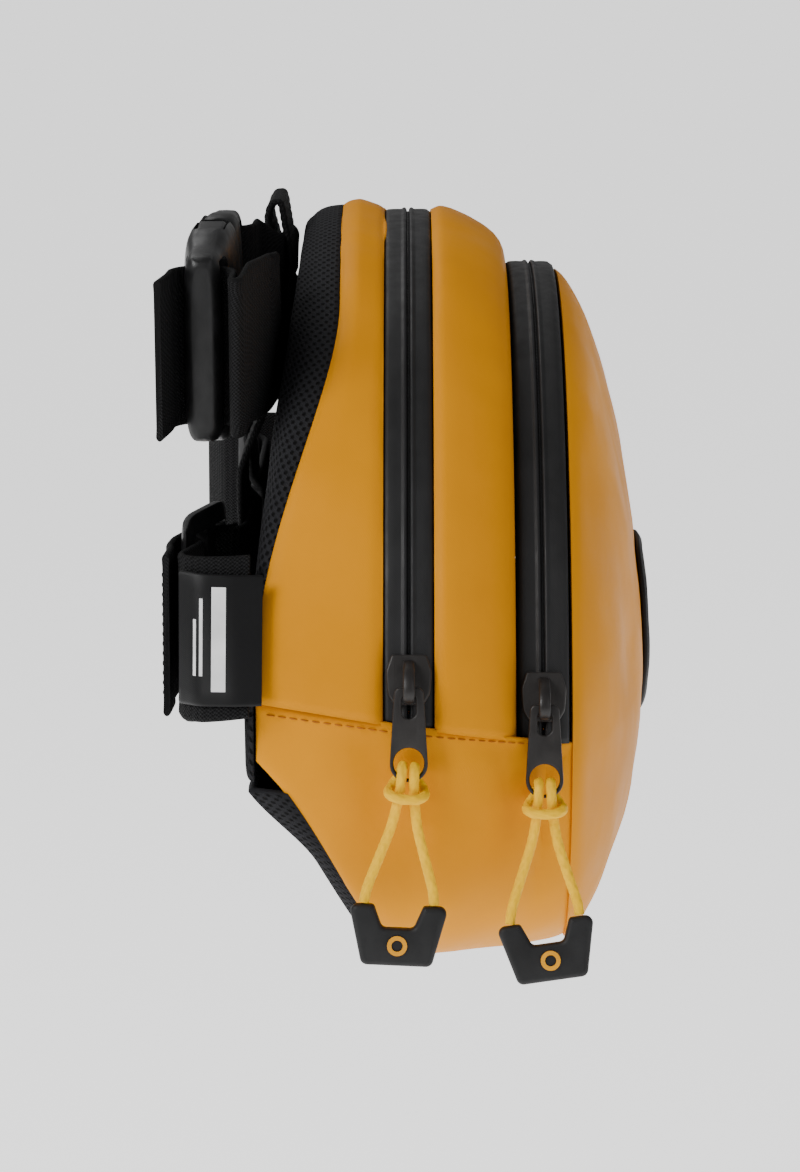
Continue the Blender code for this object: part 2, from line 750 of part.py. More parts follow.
def buckle_across(reach):
    """A vector of this length across the buckle's width, as (x, depth, z)."""
    turned = buckle_matrix().to_3x3() @ Vector((0.0, 0.0, reach))
    return (turned.x, -turned.y, turned.z)


def buckle():
    """In the buckle's frame +X is the male end, Z is across its width and Y its thickness."""
    frame = bpy.data.objects.new("buckle_frame", None)
    BAG.objects.link(frame)
    frame.matrix_world = buckle_matrix()
    female = box("buckle_female", (-34.0, -6.0, -26.0), (8.0, 6.0, 26.0), PLASTIC, frame, bevel=2.0)
    cuts = (
        ("pocket", (-16.0, -3.8, -21.0), (9.0, 3.8, 21.0)),
        ("windows", (-15.0, -3.8, -28.0), (2.0, 3.8, 28.0)),
        ("web_slot", (-30.0, -8.0, -20.5), (-20.0, 8.0, 20.5)),
    )
    for name, low, high in cuts:
        combine(female, box(f"buckle_{name}", low, high, PLASTIC, frame), "DIFFERENCE")
    male = box("buckle_male", (8.6, -5.0, -24.0), (36.0, 5.0, 24.0), PLASTIC, frame, bevel=1.5)
    slot = box("buckle_male_slot", (23.0, -7.0, -20.5), (31.0, 7.0, 20.5), PLASTIC, frame)
    combine(male, slot, "DIFFERENCE")
    guide = box("buckle_guide", (-12.0, -1.6, -3.0), (10.0, 1.6, 3.0), PLASTIC, frame)
    combine(male, guide, "UNION")
    for side, sign in (("upper", 1.0), ("lower", -1.0)):
        pivot = empty(f"buckle_prong_{side}_pivot", (7.6 * MM, 0.0, sign * 17.0 * MM), 0.0, frame)
        half = [(-0.2, -1.6), (-9.0, -1.4), (-13.0, -2.0), (-21.6, -1.2), (-21.8, 3.0), (-20.0, 7.8),
                (-12.0, 8.8), (-8.6, 7.0), (-8.0, 3.6), (-4.0, 1.8), (-0.2, 1.6)]
        points = [(x, -sign * z) for x, z in half]
        prong = flat(f"buckle_prong_{side}", [points], 6.6, PLASTIC, pivot)
        prong.rotation_euler = (math.radians(-90.0), 0.0, 0.0)


def label():
    rows = []
    centres = ((-133.1, -34.6, 0.0), (-133.8, -40.2, 0.1), (-132.6, -45.8, 0.3), (-128.4, -50.4, 0.6))
    for x, depth, share in centres:
        half = [value * 15.2 / (WEB / 2) for value in wall(-1.0, share)]
        rows.append(((x, depth, 86.0), tuple(half)))
    ribbon("side_label", rows, SATIN, thickness=0.6)


rear_gusset()
middle_gusset()
front_panel()
bottom_panel()
back_panel()
back_foam()
lower_back_panel()
divider()
front_patch()
zip_assembly("main", MAIN_RADIUS, MAIN_DEPTH, MAIN_REST)
zip_assembly("front", FRONT_RADIUS, FRONT_DEPTH, FRONT_REST)
for glide_side, glide_sign in (("left", -1.0), ("right", 1.0)):
    adjuster(f"adjuster_{glide_side}", glide_sign)
    belt_tail(f"belt_tail_{glide_side}", glide_sign)
belt_left()
belt_right()
buckle()
label()
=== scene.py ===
"""Looks of the waist bag: fabric, mesh, zips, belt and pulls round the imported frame."""

from math import atan2, copysign, cos, degrees, dist, exp, hypot, pi, radians, sin, sqrt, tan, tau

import bmesh
import bpy
from mathutils import Matrix, Vector, noise


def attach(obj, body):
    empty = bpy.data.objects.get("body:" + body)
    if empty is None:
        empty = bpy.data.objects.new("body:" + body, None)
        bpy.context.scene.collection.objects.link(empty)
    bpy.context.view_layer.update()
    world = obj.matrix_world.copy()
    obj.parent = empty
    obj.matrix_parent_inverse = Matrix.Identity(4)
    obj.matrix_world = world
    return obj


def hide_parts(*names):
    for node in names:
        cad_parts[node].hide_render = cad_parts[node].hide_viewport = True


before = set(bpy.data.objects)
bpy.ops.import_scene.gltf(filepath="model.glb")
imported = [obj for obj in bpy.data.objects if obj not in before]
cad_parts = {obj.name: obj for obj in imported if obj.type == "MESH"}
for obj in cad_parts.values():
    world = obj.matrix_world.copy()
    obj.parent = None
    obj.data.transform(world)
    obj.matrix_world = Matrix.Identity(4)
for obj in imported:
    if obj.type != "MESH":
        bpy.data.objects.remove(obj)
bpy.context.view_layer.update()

MM = 0.001

# The bag's driving sizes, in millimetres: x along the bag, depth forward, z above its bottom.
ARCH_HEIGHT = 36.0
ARCH_END = 77.0
CORNER = 55.0
CENTRE_HEIGHT = 60.0
BAG_HALF = 134.0
PAD_HALF = 134.6
PAD_CENTRE = 96.0
FRONT_HALF = 118.0
FABRIC_THICK = 1.1
MAIN_RADIUS = 137.0
FRONT_RADIUS = 123.5
MAIN_DEPTH = 2.0
FRONT_DEPTH = 33.3
TAPE_HALF = 6.3
PARTING_HALF = 0.22
FRONT_EDGE = 40.2
FRONT_BULGE = 21.8
BACK_MIDDLE = 25.0
BACK_CURVE = 13.0
BACK_FLOOR = 52.0
BELT_HEIGHT = 85.0
PATCH_CENTRE = 68.0
MAIN_REST = -73.0
FRONT_REST = -74.2
PIVOT_HEIGHT = {"main": 5.8, "front": 6.8}
TAB_LEAN = {"main": 8.5, "front": 5.5}
LOOP_LEAN = {"main": 10.0, "front": 4.5}
TAB_HOLE = 16.3
TAB_HANG = 2.9
LOOP_TURN = {"main": 4.0, "front": 0.0}
GRIP_TILT = {"main": 1.5, "front": 8.0}
CORD = 2.4
CORD_SIDES = 24
BRAID_PITCH = 3.4 * MM
GRIP_TOP = 32.5
GRIP_HEIGHT = 13.8
GRIP_THICK = 4.2
WEB = 38.0
WEB_THICK = 1.4
RIB_PITCH = 1.9 * MM
LABEL_STEP = 0.8
LABEL_PASSES = 5
GLIDE_CENTRE = (-90.0, -46.5, 85.0)
GLIDE_YAW = 14.0
BUCKLE_CENTRE = (-64.0, -44.5, 151.0)
BUCKLE_YAW = 3.0
BUCKLE_PITCH = 5.0


# ---------------------------------------------------------------- camera, floor and light

CAMERA_DISTANCE = 1.03
CAMERA_ELEVATION = 10.0
CAMERA_LENS = 123.1
CAMERA_SIDE = -0.025
AIM_HEIGHT = 75.1
FLOOR_REACH = 60.0
FLOOR_HEIGHT = -0.32


def link(name, data):
    obj = bpy.data.objects.new(name, data)
    bpy.context.scene.collection.objects.link(obj)
    return obj


def make_camera():
    data = bpy.data.cameras.new("camera")
    data.lens = CAMERA_LENS
    data.sensor_width = 36.0
    data.clip_start = 0.05
    camera = link("camera", data)
    rise = CAMERA_DISTANCE * tan(radians(CAMERA_ELEVATION))
    camera.location = (-CAMERA_DISTANCE, CAMERA_SIDE, (AIM_HEIGHT - BELT_HEIGHT) * MM + rise)
    camera.rotation_euler = (radians(90.0 - CAMERA_ELEVATION), 0.0, radians(-90.0))
    bpy.context.scene.camera = camera


def area_light(name, location, size, energy, aim_height=0.0):
    data = bpy.data.lights.new(name, "AREA")
    data.shape = "RECTANGLE"
    data.size = data.size_y = size
    data.energy = energy
    light = link(name, data)
    light.location = location
    aim = Vector((0.0, 0.0, aim_height)) - Vector(location)
    light.rotation_euler = aim.to_track_quat("-Z", "Y").to_euler()


def make_studio():
    world = bpy.data.worlds.new("studio")
    world.use_nodes = True
    background = world.node_tree.nodes["Background"]
    background.inputs["Color"].default_value = (1.0, 1.0, 1.0, 1.0)
    background.inputs["Strength"].default_value = 0.3
    bpy.context.scene.world = world
    mesh = bpy.data.meshes.new("floor")
    square = ((-1, -1), (1, -1), (1, 1), (-1, 1))
    corners = [(x * FLOOR_REACH, y * FLOOR_REACH, FLOOR_HEIGHT) for x, y in square]
    mesh.from_pydata(corners, [], [(0, 1, 2, 3)])
    floor = link("floor", mesh)
    made, _, shader = start_material("floor", 0.9, 0.5)
    shader.inputs["Base Color"].default_value = (0.95, 0.95, 0.95, 1.0)
    shader.inputs["Emission Color"].default_value = (1.0, 1.0, 1.0, 1.0)
    shader.inputs["Emission Strength"].default_value = 1.2
    mesh.materials.append(made)
    area_light("key", (-0.75, 0.75, 0.75), 0.5, 12.0)
    area_light("fill", (-0.9, -0.8, 0.6), 0.8, 2.0)
    area_light("rim", (0.6, 0.5, 1.0), 0.8, 4.0, 0.05)


# ---------------------------------------------------------------- materials

def node(tree, kind, output, inputs, **settings):
    """Adds a node, sets or links its inputs, and gives back one of its outputs."""
    made = tree.nodes.new("ShaderNode" + kind)
    for name, value in settings.items():
        setattr(made, name, value)
    for key, value in inputs.items():
        if isinstance(value, bpy.types.NodeSocket):
            tree.links.new(value, made.inputs[key])
        else:
            made.inputs[key].default_value = value
    return made.outputs[output]


def start_material(name, roughness, specular):
    made = bpy.data.materials.new(name)
    made.use_nodes = True
    shader = made.node_tree.nodes["Principled BSDF"]
    shader.inputs["Roughness"].default_value = roughness
    shader.inputs["Specular IOR Level"].default_value = specular
    return made, made.node_tree, shader


def coordinates(tree, space):
    return node(tree, "TexCoord", space, {})


def noise_value(tree, vector, scale, detail=3.0):
    return node(tree, "TexNoise", "Fac", {"Vector": vector, "Scale": scale, "Detail": detail})


def color_ramp(tree, shader, value, low, high, start=0.35, end=0.65):
    """Colours a material between two shades as the value goes from start to end."""
    made = tree.nodes.new("ShaderNodeValToRGB")
    for element, position, color in zip(made.color_ramp.elements, (start, end), (low, high)):
        element.position = position
        element.color = (*color, 1.0)
    tree.links.new(value, made.inputs["Fac"])
    tree.links.new(made.outputs["Color"], shader.inputs["Base Color"])


def level(tree, value, low, high, start=0.35, end=0.65):
    inputs = {"Value": value, "From Min": start, "From Max": end, "To Min": low, "To Max": high}
    return node(tree, "MapRange", "Result", inputs)


def gloss(tree, shader, value, low, high):
    tree.links.new(level(tree, value, low, high), shader.inputs["Roughness"])


def math_node(tree, operation, first, second=0.0):
    return node(tree, "Math", "Value", {0: first, 1: second}, operation=operation)


def bump(tree, shader, height, distance, strength=1.0, below=None):
    inputs = {"Height": height, "Distance": distance, "Strength": strength}
    if below is not None:
        inputs["Normal"] = below
    made = node(tree, "Bump", "Normal", inputs)
    tree.links.new(made, shader.inputs["Normal"])
    return made


def half_up(tree, swing):
    """From -1 to 1 into 0 to 1."""
    return math_node(tree, "ADD", math_node(tree, "MULTIPLY", swing, 0.5), 0.5)


def threads(tree, *pitches):
    """Crossing waves along and across the cloth, in metres, from -1 to 1."""
    cloth = coordinates(tree, "UV")
    waves = []
    for axis, pitch in enumerate(pitches):
        spot = node(tree, "SeparateXYZ", axis, {"Vector": cloth})
        waves.append(math_node(tree, "SINE", math_node(tree, "MULTIPLY", spot, tau / pitch)))
    return math_node(tree, "MULTIPLY", *waves)


def coated_fabric():
    """Polyurethane-coated weave: satin, with a fine grain and a faint thread pattern."""
    made, tree, shader = start_material("coated_fabric", 0.45, 0.04)
    body = coordinates(tree, "Object")
    color_ramp(tree, shader, noise_value(tree, body, 22.0), (0.60, 0.225, 0.0), (0.69, 0.265, 0.0), 0.3, 0.7)
    gloss(tree, shader, noise_value(tree, body, 60.0), 0.38, 0.48)
    grain = bump(tree, shader, noise_value(tree, body, 2600.0, 2.0), 0.00005, 0.5)
    bump(tree, shader, threads(tree, 0.0006, 0.0006), 0.00002, 0.35, grain)
    return made


def air_mesh():
    """Spacer mesh: rows of small open cells between knitted ridges, with the open cells painted darker as shade.
    """
    made, tree, shader = start_material("air_mesh", 0.85, 0.15)
    cells = half_up(tree, threads(tree, 0.0028, 0.0022))
    # The ramp paints painted shade into the sunken cells and leaves the ridges lighter.
    color_ramp(tree, shader, cells, (0.002, 0.002, 0.002), (0.016, 0.016, 0.018), 0.12, 0.42)
    holes = bump(tree, shader, level(tree, cells, 0.0, 1.0, 0.1, 0.5), 0.0006)
    bump(tree, shader, half_up(tree, threads(tree, 0.0007, 0.0009)), 0.00012, 0.7, holes)
    return made


def webbing():
    made, tree, shader = start_material("webbing", 0.8, 0.15)
    weave = half_up(tree, threads(tree, 0.0009, 0.0011))
    # Painted shade: the weave's raised threads are coloured lighter and its grooves darker.
    color_ramp(tree, shader, weave, (0.0008, 0.0008, 0.0009), (0.013, 0.013, 0.0138), 0.25, 0.75)
    bump(tree, shader, weave, 0.0003)
    return made


def zip_tape():
    made, tree, shader = start_material("zip_tape", 0.5, 0.3)
    body = coordinates(tree, "Object")
    color_ramp(tree, shader, noise_value(tree, body, 90.0), (0.007, 0.007, 0.0072), (0.010, 0.010, 0.0105))
    gloss(tree, shader, noise_value(tree, body, 300.0), 0.44, 0.56)
    bump(tree, shader, threads(tree, 0.00055, 0.00055), 0.00002, 0.5)
    return made


def plain_cloth(name, low, high, roughness, pitch):
    made, tree, shader = start_material(name, roughness, 0.2)
    weave = half_up(tree, threads(tree, pitch, pitch))
    # Painted shade: the weave's raised threads are coloured lighter and its grooves darker.
    color_ramp(tree, shader, weave, low, high, 0.2, 0.8)
    bump(tree, shader, weave, pitch / 12, 0.6)
    return made


def hard(name, low, high, roughness, grain=1800.0, depth=0.00003):
    """A moulded or coated hard surface with a fine grain and uneven gloss."""
    made, tree, shader = start_material(name, roughness, 0.35)
    body = coordinates(tree, "Object")
    color_ramp(tree, shader, noise_value(tree, body, 120.0), low, high)
    gloss(tree, shader, noise_value(tree, body, 260.0, 4.0), roughness - 0.06, roughness + 0.08)
    bump(tree, shader, noise_value(tree, body, grain, 2.0), depth, 0.6)
    return made


def cord_material():
    made, tree, shader = start_material("braided_cord", 0.62, 0.15)
    cloth = coordinates(tree, "UV")
    color_ramp(tree, shader, noise_value(tree, cloth, 400.0), (0.78, 0.43, 0.0), (0.88, 0.50, 0.0))
    stretched = node(tree, "Mapping", "Vector", {"Vector": cloth, "Scale": (6.0, 1.0, 1.0)})
    bump(tree, shader, noise_value(tree, stretched, 2200.0, 2.0), 0.00004, 0.6)
    return made


FABRIC = coated_fabric()
MESH = air_mesh()
WEBBING = webbing()
TAPE = zip_tape()
# The topstitch thread is painted a darker orange than the fabric, as painted shade of stitches sunk in their
# dimples.
THREAD_PAINTED_SHADE = hard("thread", (0.30, 0.085, 0.0), (0.40, 0.12, 0.0), 0.7)
BLACK_THREAD = hard("black_thread", (0.01, 0.01, 0.01), (0.03, 0.03, 0.03), 0.7)
COIL = hard("zip_coil", (0.003, 0.003, 0.0033), (0.007, 0.007, 0.0075), 0.35)
METAL = hard("painted_metal", (0.011, 0.0095, 0.009), (0.017, 0.015, 0.014), 0.42)
RUBBER = hard("grip_rubber", (0.0045, 0.0045, 0.0048), (0.008, 0.008, 0.0085), 0.55, 900.0, 0.00005)
PLASTIC = hard("buckle_plastic", (0.004, 0.004, 0.0043), (0.008, 0.008, 0.0085), 0.4, 1100.0, 0.00004)
CORD_FINISH = cord_material()
BADGE = hard("badge", (0.62, 0.26, 0.0), (0.70, 0.30, 0.0), 0.5)
SATIN = plain_cloth("satin_label", (0.003, 0.003, 0.0033), (0.007, 0.007, 0.0075), 0.4, 0.0005)
PRINT = hard("label_print", (0.62, 0.62, 0.62), (0.78, 0.78, 0.78), 0.6)
PATCH = plain_cloth("patch", (0.004, 0.004, 0.0043), (0.009, 0.009, 0.0095), 0.55, 0.0009)
LINING = plain_cloth("lining", (0.03, 0.03, 0.033), (0.07, 0.07, 0.075), 0.8, 0.0007)
FOAM = hard("foam", (0.02, 0.02, 0.02), (0.045, 0.045, 0.045), 0.95, 700.0, 0.0002)


# ---------------------------------------------------------------- mesh building

def place(x, depth, z):
    """A point in the frame's metres from the bag's millimetres."""
    return Vector((x * MM, -(depth + BACK_MIDDLE) * MM, (z - BELT_HEIGHT) * MM))


def piece(name, mesh, finish, body="bag", replaces=(), slot=None, smooth=35.0):
    obj = link(name, mesh)
    mesh.materials.clear()
    mesh.materials.append(finish)
    mesh.shade_smooth()
    mesh.set_sharp_from_angle(angle=radians(smooth))
    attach(obj, body)
    if replaces:
        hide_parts(*replaces)
    return obj


def panel(name, rows, finish, slot, thickness, replaces=(), loop=False, centre=None, smooth=35.0):
    """A sheet of this thickness whose outer face is the surface over rows of points."""
    mesh = grid_mesh(name, rows, loop, centre)
    obj = piece(name, mesh, finish, replaces=replaces, slot=slot, smooth=smooth)
    modifier = obj.modifiers.new("Thickness", "SOLIDIFY")
    modifier.thickness = thickness * MM
    modifier.offset = -1.0
    return obj


def close_up(mesh, matrix=None, weld=0.0):
    """Welds or caps a mesh, turns its faces outward and moves it into place."""
    work = bmesh.new()
    work.from_mesh(mesh)
    if weld:
        bmesh.ops.remove_doubles(work, verts=work.verts, dist=weld)
    else:
        bmesh.ops.holes_fill(work, edges=[edge for edge in work.edges if edge.is_boundary])
    bmesh.ops.recalc_face_normals(work, faces=work.faces)
    work.to_mesh(mesh)
    work.free()
    if matrix is not None:
        mesh.transform(matrix)
    return mesh


def on_arch(radius, angle):
    """(x, z) on the arch, at this angle from its top in degrees."""
    turn = radians(angle)
    return radius * sin(turn), ARCH_HEIGHT + radius * cos(turn)


def grid_mesh(name, rows, loop=False, centre=None):
    """A surface over rows of points, with a UV map in metres along each way."""
    wide = len(rows[0])
    points = [point for row in rows for point in row]
    down = list(zip(*[lengths_along(column) for column in zip(*rows)]))
    across = [lengths_along(row + row[:1]) for row in rows]
    faces, corners = [], []
    for i in range(len(rows) - 1):
        for j in range(wide if loop else wide - 1):
            k = (j + 1) % wide
            faces.append((i * wide + j, i * wide + k, (i + 1) * wide + k, (i + 1) * wide + j))
            for a, b in ((i, j), (i, j + 1), (i + 1, j + 1), (i + 1, j)):
                corners.append((across[a][b], down[a][b % wide]))
    if centre is not None:
        points.append(centre)
        last = (len(rows) - 1) * wide
        for j in range(wide):
            faces.append((last + j, last + (j + 1) % wide, len(points) - 1))
            reach = (rows[-1][j] - centre).length
            for a, b in ((j, 0.0), (j + 1, 0.0), (j, reach)):
                corners.append((across[-1][a], down[-1][j] + b))
    mesh = bpy.data.meshes.new(name)
    mesh.from_pydata(points, [], faces)
    layer = mesh.uv_layers.new(name="cloth")
    for loop_data, corner in zip(layer.data, corners):
        loop_data.uv = corner
    mesh.update()
    return mesh


def smoothstep(t):
    t = min(max(t, 0.0), 1.0)
    return t * t * (3.0 - 2.0 * t)


def between(table, value):
    if value <= table[0][0]:
        return table[0][1]
    for (a, low), (b, high) in zip(table, table[1:]):
        if value <= b:
            return low + (high - low) * (value - a) / (b - a)
    return table[-1][1]


def arc_point(radius, angle, depth):
    x, z = on_arch(radius, angle)
    return place(x, depth, z)


def lengths_along(points):
    """How far along a line each of its points lies."""
    lengths = [0.0]
    for a, b in zip(points, points[1:]):
        lengths.append(lengths[-1] + dist(a, b))
    return lengths


def eased(step, steps):
    """From 0 to 1 with the steps crowding at both ends, where fabric turns under."""
    return 0.5 - 0.5 * cos(pi * step / steps)


def ripple(x, depth, z, size, amount):
    """Slow unevenness of a soft panel, in millimetres."""
    return amount * noise.noise(Vector((x / size, depth / size, z / size)))


def tuck(distance, amount=1.5, reach=1.3):
    """How far a panel dips this far from a seam."""
    return amount * exp(-max(distance, 0.0) / reach)


# ---------------------------------------------------------------- bag body

def half_width(depth):
    return between([(8, 134.0), (13, 133.2), (26, 127.0), (33, 122.5), (40, 118.9)], depth)


def arch_end(depth):
    """Where the arch meets the bottom panel, in degrees from the top: lower towards the front."""
    return between([(-33.0, 75.2), (2.0, 77.6), (40.0, 79.4)], depth)


def back_seam(angle):
    return -14.5 - 18.8 * smoothstep((abs(angle) - 30.0) / 45.0)


def lower_path(depth, corner_steps=26, floor_steps=40):
    width = half_width(depth)
    seam = ARCH_HEIGHT + (width - 0.5) / tan(radians(arch_end(depth)))
    half = [
        (-width + 0.5 - 0.5 * step / 6, seam + 0.8 + (CORNER - seam - 0.8) * step / 6) for step in range(6)
    ]
    for step in range(corner_steps + 1):
        turn = radians(90.0 * step / corner_steps)
        half.append((-width + CORNER - CORNER * cos(turn), CORNER - CORNER * sin(turn)))
    floor = [(half[-1][0] * (1.0 - 2.0 * step / floor_steps), 0.0) for step in range(1, floor_steps)]
    return half + floor + [(-x, z) for x, z in reversed(half)]


def outline(depth, arch_steps=150):
    radius = (half_width(depth) - 0.5) / sin(radians(ARCH_END))
    loop = [on_arch(radius, angle) for angle in arch_angles(steps=arch_steps)]
    return loop + lower_path(depth)[6:-6][::-1]


def bulge(share):
    return 1.0 - 0.78 * share ** 2 - 0.22 * share ** 8


def inward(loop, share):
    return [(x * share, CENTRE_HEIGHT + (z - CENTRE_HEIGHT) * share) for x, z in loop]


def arch_angles(end=ARCH_END, steps=170):
    return [-end + 2.0 * end * step / steps for step in range(steps + 1)]


def arch_band(name, profile, waviness=0.7):
    """A yellow band along the arch. profile(angle) gives its (depth, radius) from rear to front."""
    rows = []
    for share in arch_angles(1.0):
        row = []
        path = profile(share * ARCH_END)
        for index, (depth, radius) in enumerate(path):
            angle = share * arch_end(depth)
            x, z = on_arch(radius, angle)
            soft = min(min(index, len(path) - 1 - index) / 3.0, 1.0)
            swell = ripple(x, depth, z, 26.0, waviness) + ripple(x, depth * 0.4, z, 9.0, 0.22)
            row.append(arc_point(radius + swell * soft, angle, depth))
        rows.append(row)
    panel(f"{name}_fabric", rows, FABRIC, "coated_fabric", FABRIC_THICK, (name,))


def band_path(points, steps, start_tuck, end_tuck):
    """A profile through (depth, radius) points, dipping at each edge."""
    lengths = lengths_along(points)
    depths, radii = [list(zip(lengths, [point[k] for point in points])) for k in (0, 1)]
    path = []
    for step in range(steps + 1):
        at = lengths[-1] * eased(step, steps)
        dip = tuck(at, start_tuck) + tuck(lengths[-1] - at, end_tuck)
        path.append((between(depths, at), between(radii, at) - dip))
    return path


def rear_gusset():
    end = MAIN_DEPTH - TAPE_HALF + 0.4

    def profile(angle):
        seam = back_seam(angle)
        points = [(seam, 139.6), (seam * 0.6 + end * 0.4, 139.9), (end - 3.0, 138.9), (end, 138.2)]
        return band_path(points, 22, 1.4, 1.0)
    arch_band("rear_gusset", profile)


def middle_gusset():
    points = [
        (7.9, 138.0), (10.4, 138.2), (13.4, 137.3), (17.5, 135.5), (21.5, 133.2), (24.0, 131.2),
        (25.6, 129.2), (26.5, 127.2), (26.9, 125.2),
    ]
    path = band_path(points, 26, 1.1, 0.6)
    arch_band("middle_gusset", lambda angle: path, 0.5)


def front_swell(x, z):
    return ripple(x, 50.0, z, 34.0, 1.3) + ripple(x * 0.6, 9.0, z, 11.0, 0.3)


def front_panel():
    loop = outline(FRONT_EDGE)[::-1]
    shares = [1.0 - 0.5 * (step / 16.0) ** 1.7 for step in range(17)] + [0.42, 0.34, 0.26, 0.18, 0.1]
    rows = [[place(x, FRONT_EDGE - 0.6, z) for x, z in inward(loop, 0.985)]]
    for share in shares:
        rise = 1.0 + (FRONT_BULGE - 1.0) * bulge(share)
        edge = (1.0 - share) * FRONT_HALF
        lift = FRONT_EDGE + rise - tuck(edge, 1.0)
        slack = smoothstep(edge / 12.0)
        rows.append([place(x, lift + front_swell(x, z) * slack, z) for x, z in inward(loop, share)])
    swell = ripple(0, 50.0, CENTRE_HEIGHT, 34.0, 1.3)
    centre = place(0.0, FRONT_EDGE + FRONT_BULGE + swell, CENTRE_HEIGHT)
    panel(
        "front_panel_fabric", rows, FABRIC, "coated_fabric", FABRIC_THICK, ("front_panel",), True, centre,
    )


def rear_edge(height):
    return -33.0 + 32.0 * max(0.0, (57.0 - height) / 57.0) ** 0.75


def creases(depth, hem, side):
    """Soft folds that run down from the hem at one end, as (depth, slant, width, rise, start, reach)."""
    folds = (
        (37.0, -0.35, 1.9, -2.1, 2.0, 15.0), (33.0, -0.30, 1.8, 1.2, 2.0, 12.0),
        (24.0, 0.25, 2.4, -1.6, 0.0, 12.0), (9.0, -0.45, 2.2, -1.5, 1.0, 14.0),
        (-8.0, 0.40, 3.0, -1.3, 0.0, 11.0),
    )
    total = 0.0
    for at, slant, width, rise, start, reach in folds:
        centre = at * side + (1.0 - side) * 20.0 + slant * hem
        along = smoothstep((hem - start) / 3.0) * (1.0 - smoothstep((hem - start - reach * 0.4) / reach))
        total += rise * exp(-((depth - centre) / width) ** 2) * along
    return total


def lower_point(column, count, share, out=0.0):
    """A point on the bottom panel: along its path, then from rear to front, and out of it."""
    depth = 0.0
    for _ in range(4):
        path = lower_path(depth)
        x, z = path[column]
        start = rear_edge(z)
        depth = start + (FRONT_EDGE + 0.4 - start) * share
    ahead, behind = path[min(column + 1, count - 1)], path[max(column - 1, 0)]
    dx, dz = ahead[0] - behind[0], ahead[1] - behind[1]
    size = hypot(dx, dz)
    return x + out * dz / size, depth, z - out * dx / size


def bottom_panel():
    count = len(lower_path(0.0))
    rows = []
    for step in range(31):
        share = eased(step, 30)
        row = []
        for column in range(count):
            x, depth, z = lower_point(column, count, share)
            length = FRONT_EDGE - rear_edge(z)
            dip = tuck(share * length, 1.2) + tuck((1.0 - share) * length, 1.2)
            hem = min(column, count - 1 - column)
            proud = 0.9 * exp(-hem / 3.0)
            soft = smoothstep(hem / 5.0) * smoothstep(min(share, 1.0 - share) * 6.0)
            swell = ripple(x, depth, z, 30.0, 1.6) + ripple(x, depth, z * 0.6, 12.0, 0.45)
            fold = creases(depth, hem, 1.0 if column < count / 2 else 0.8)
            fold *= smoothstep((1.0 - share) * 30.0)
            row.append(place(*lower_point(column, count, share, proud - dip + swell * soft + fold)))
        rows.append(row)
    panel("bottom_panel_fabric", rows, FABRIC, "coated_fabric", FABRIC_THICK, ("bottom_panel",))


# ---------------------------------------------------------------- back pad

def back_face(x):
    return -BACK_MIDDLE - BACK_CURVE * (min(abs(x), BAG_HALF) / BAG_HALF) ** 2.4


def back_loop():
    """The back pad's outline as (x, z, depth of the seam)."""
    radius = PAD_HALF / sin(radians(ARCH_END))
    arch = [(*on_arch(radius, angle), back_seam(angle)) for angle in arch_angles(steps=150)]
    side, low, seam = arch[-1]
    corner = BACK_FLOOR + 5.0
    down = [(side - 0.25 * step, low + (corner - low) * step / 6, seam) for step in range(1, 7)]
    for step in range(1, 9):
        turn = radians(90.0 * step / 8)
        down.append((side - 1.5 - 5.0 * (1.0 - cos(turn)), corner - 5.0 * sin(turn), seam))
    floor = [((side - 6.5) * (1.0 - step / 25.0), BACK_FLOOR, seam) for step in range(1, 50)]
    return arch + down + floor + [(-x, z, depth) for x, z, depth in reversed(down)]


def channel(x, z):
    """How far the sewn channels pull the back pad in at this place, from 0 to 1."""
    side = abs(abs(x) - 42.0 - 0.12 * (z - 90.0))
    return exp(-(side / 3.2) ** 2)


def back_panel():
    loop = back_loop()
    rows = []
    steps = [0.0, 0.5, 1.0, 1.6, 2.3, 3.1, 4.0, 5.0, 6.2, 7.6, 9.2, 11.0, 13.0]
    steps += [16.0 + 4.2 * step for step in range(25)]
    for inset in steps:
        share = 1.0 - inset / PAD_HALF
        roll = 0.014 * sin(pi * min(inset / 5.0, 1.0))
        behind = 1.0 - (1.0 - min(inset / 11.0, 1.0)) ** 2.6
        crown = 1.0 - exp(-max(inset - 10.0, 0.0) / 7.0)
        row = []
        for x, z, seam in loop:
            near, height = x * (share + roll), PAD_CENTRE + (z - PAD_CENTRE) * (share + roll * 0.6)
            depth = seam - 0.2 + (back_face(near) + 0.9 - seam) * behind
            depth += crown * (2.4 * channel(near, height) - 0.9)
            depth += ripple(near, height, 3.0, 20.0, 0.35) * behind
            row.append(place(near, depth, height))
        rows.append(row)
    centre = place(0.0, -BACK_MIDDLE, PAD_CENTRE)
    obj = panel("back_pad_mesh", rows, MESH, "air_mesh", 2.0, ("back_panel",), True, centre, 60.0)


def lower_width(height):
    if height >= CORNER:
        return BAG_HALF
    return BAG_HALF - CORNER + sqrt(CORNER ** 2 - (CORNER - height) ** 2)


def lower_back_panel():
    rows = []
    for step in range(33):
        height = BACK_FLOOR - 2.0 - (BACK_FLOOR - 5.0) * (1.0 - (1.0 - step / 32.0) ** 1.15)
        side = lower_width(height - 2.4) + 0.2
        row = []
        for column in range(81):
            x = side * (column / 40.0 - 1.0)
            edge = min(side - abs(x), 20.0)
            full = smoothstep(edge / 2.4) * smoothstep((height - 1.0) / 7.0)
            depth = rear_edge(height) + 0.4 - (3.9 + 5.0 * smoothstep((height - 32.0) / 18.0)) * full
            depth += ripple(x, 4.0, height, 24.0, 0.9) * smoothstep(edge / 14.0)
            row.append(place(x, depth, height))
        rows.append(row)
    panel("lower_back_mesh", rows, MESH, "air_mesh", 1.6, ("lower_back_panel",), smooth=60.0)


# ---------------------------------------------------------------- stitches and patch

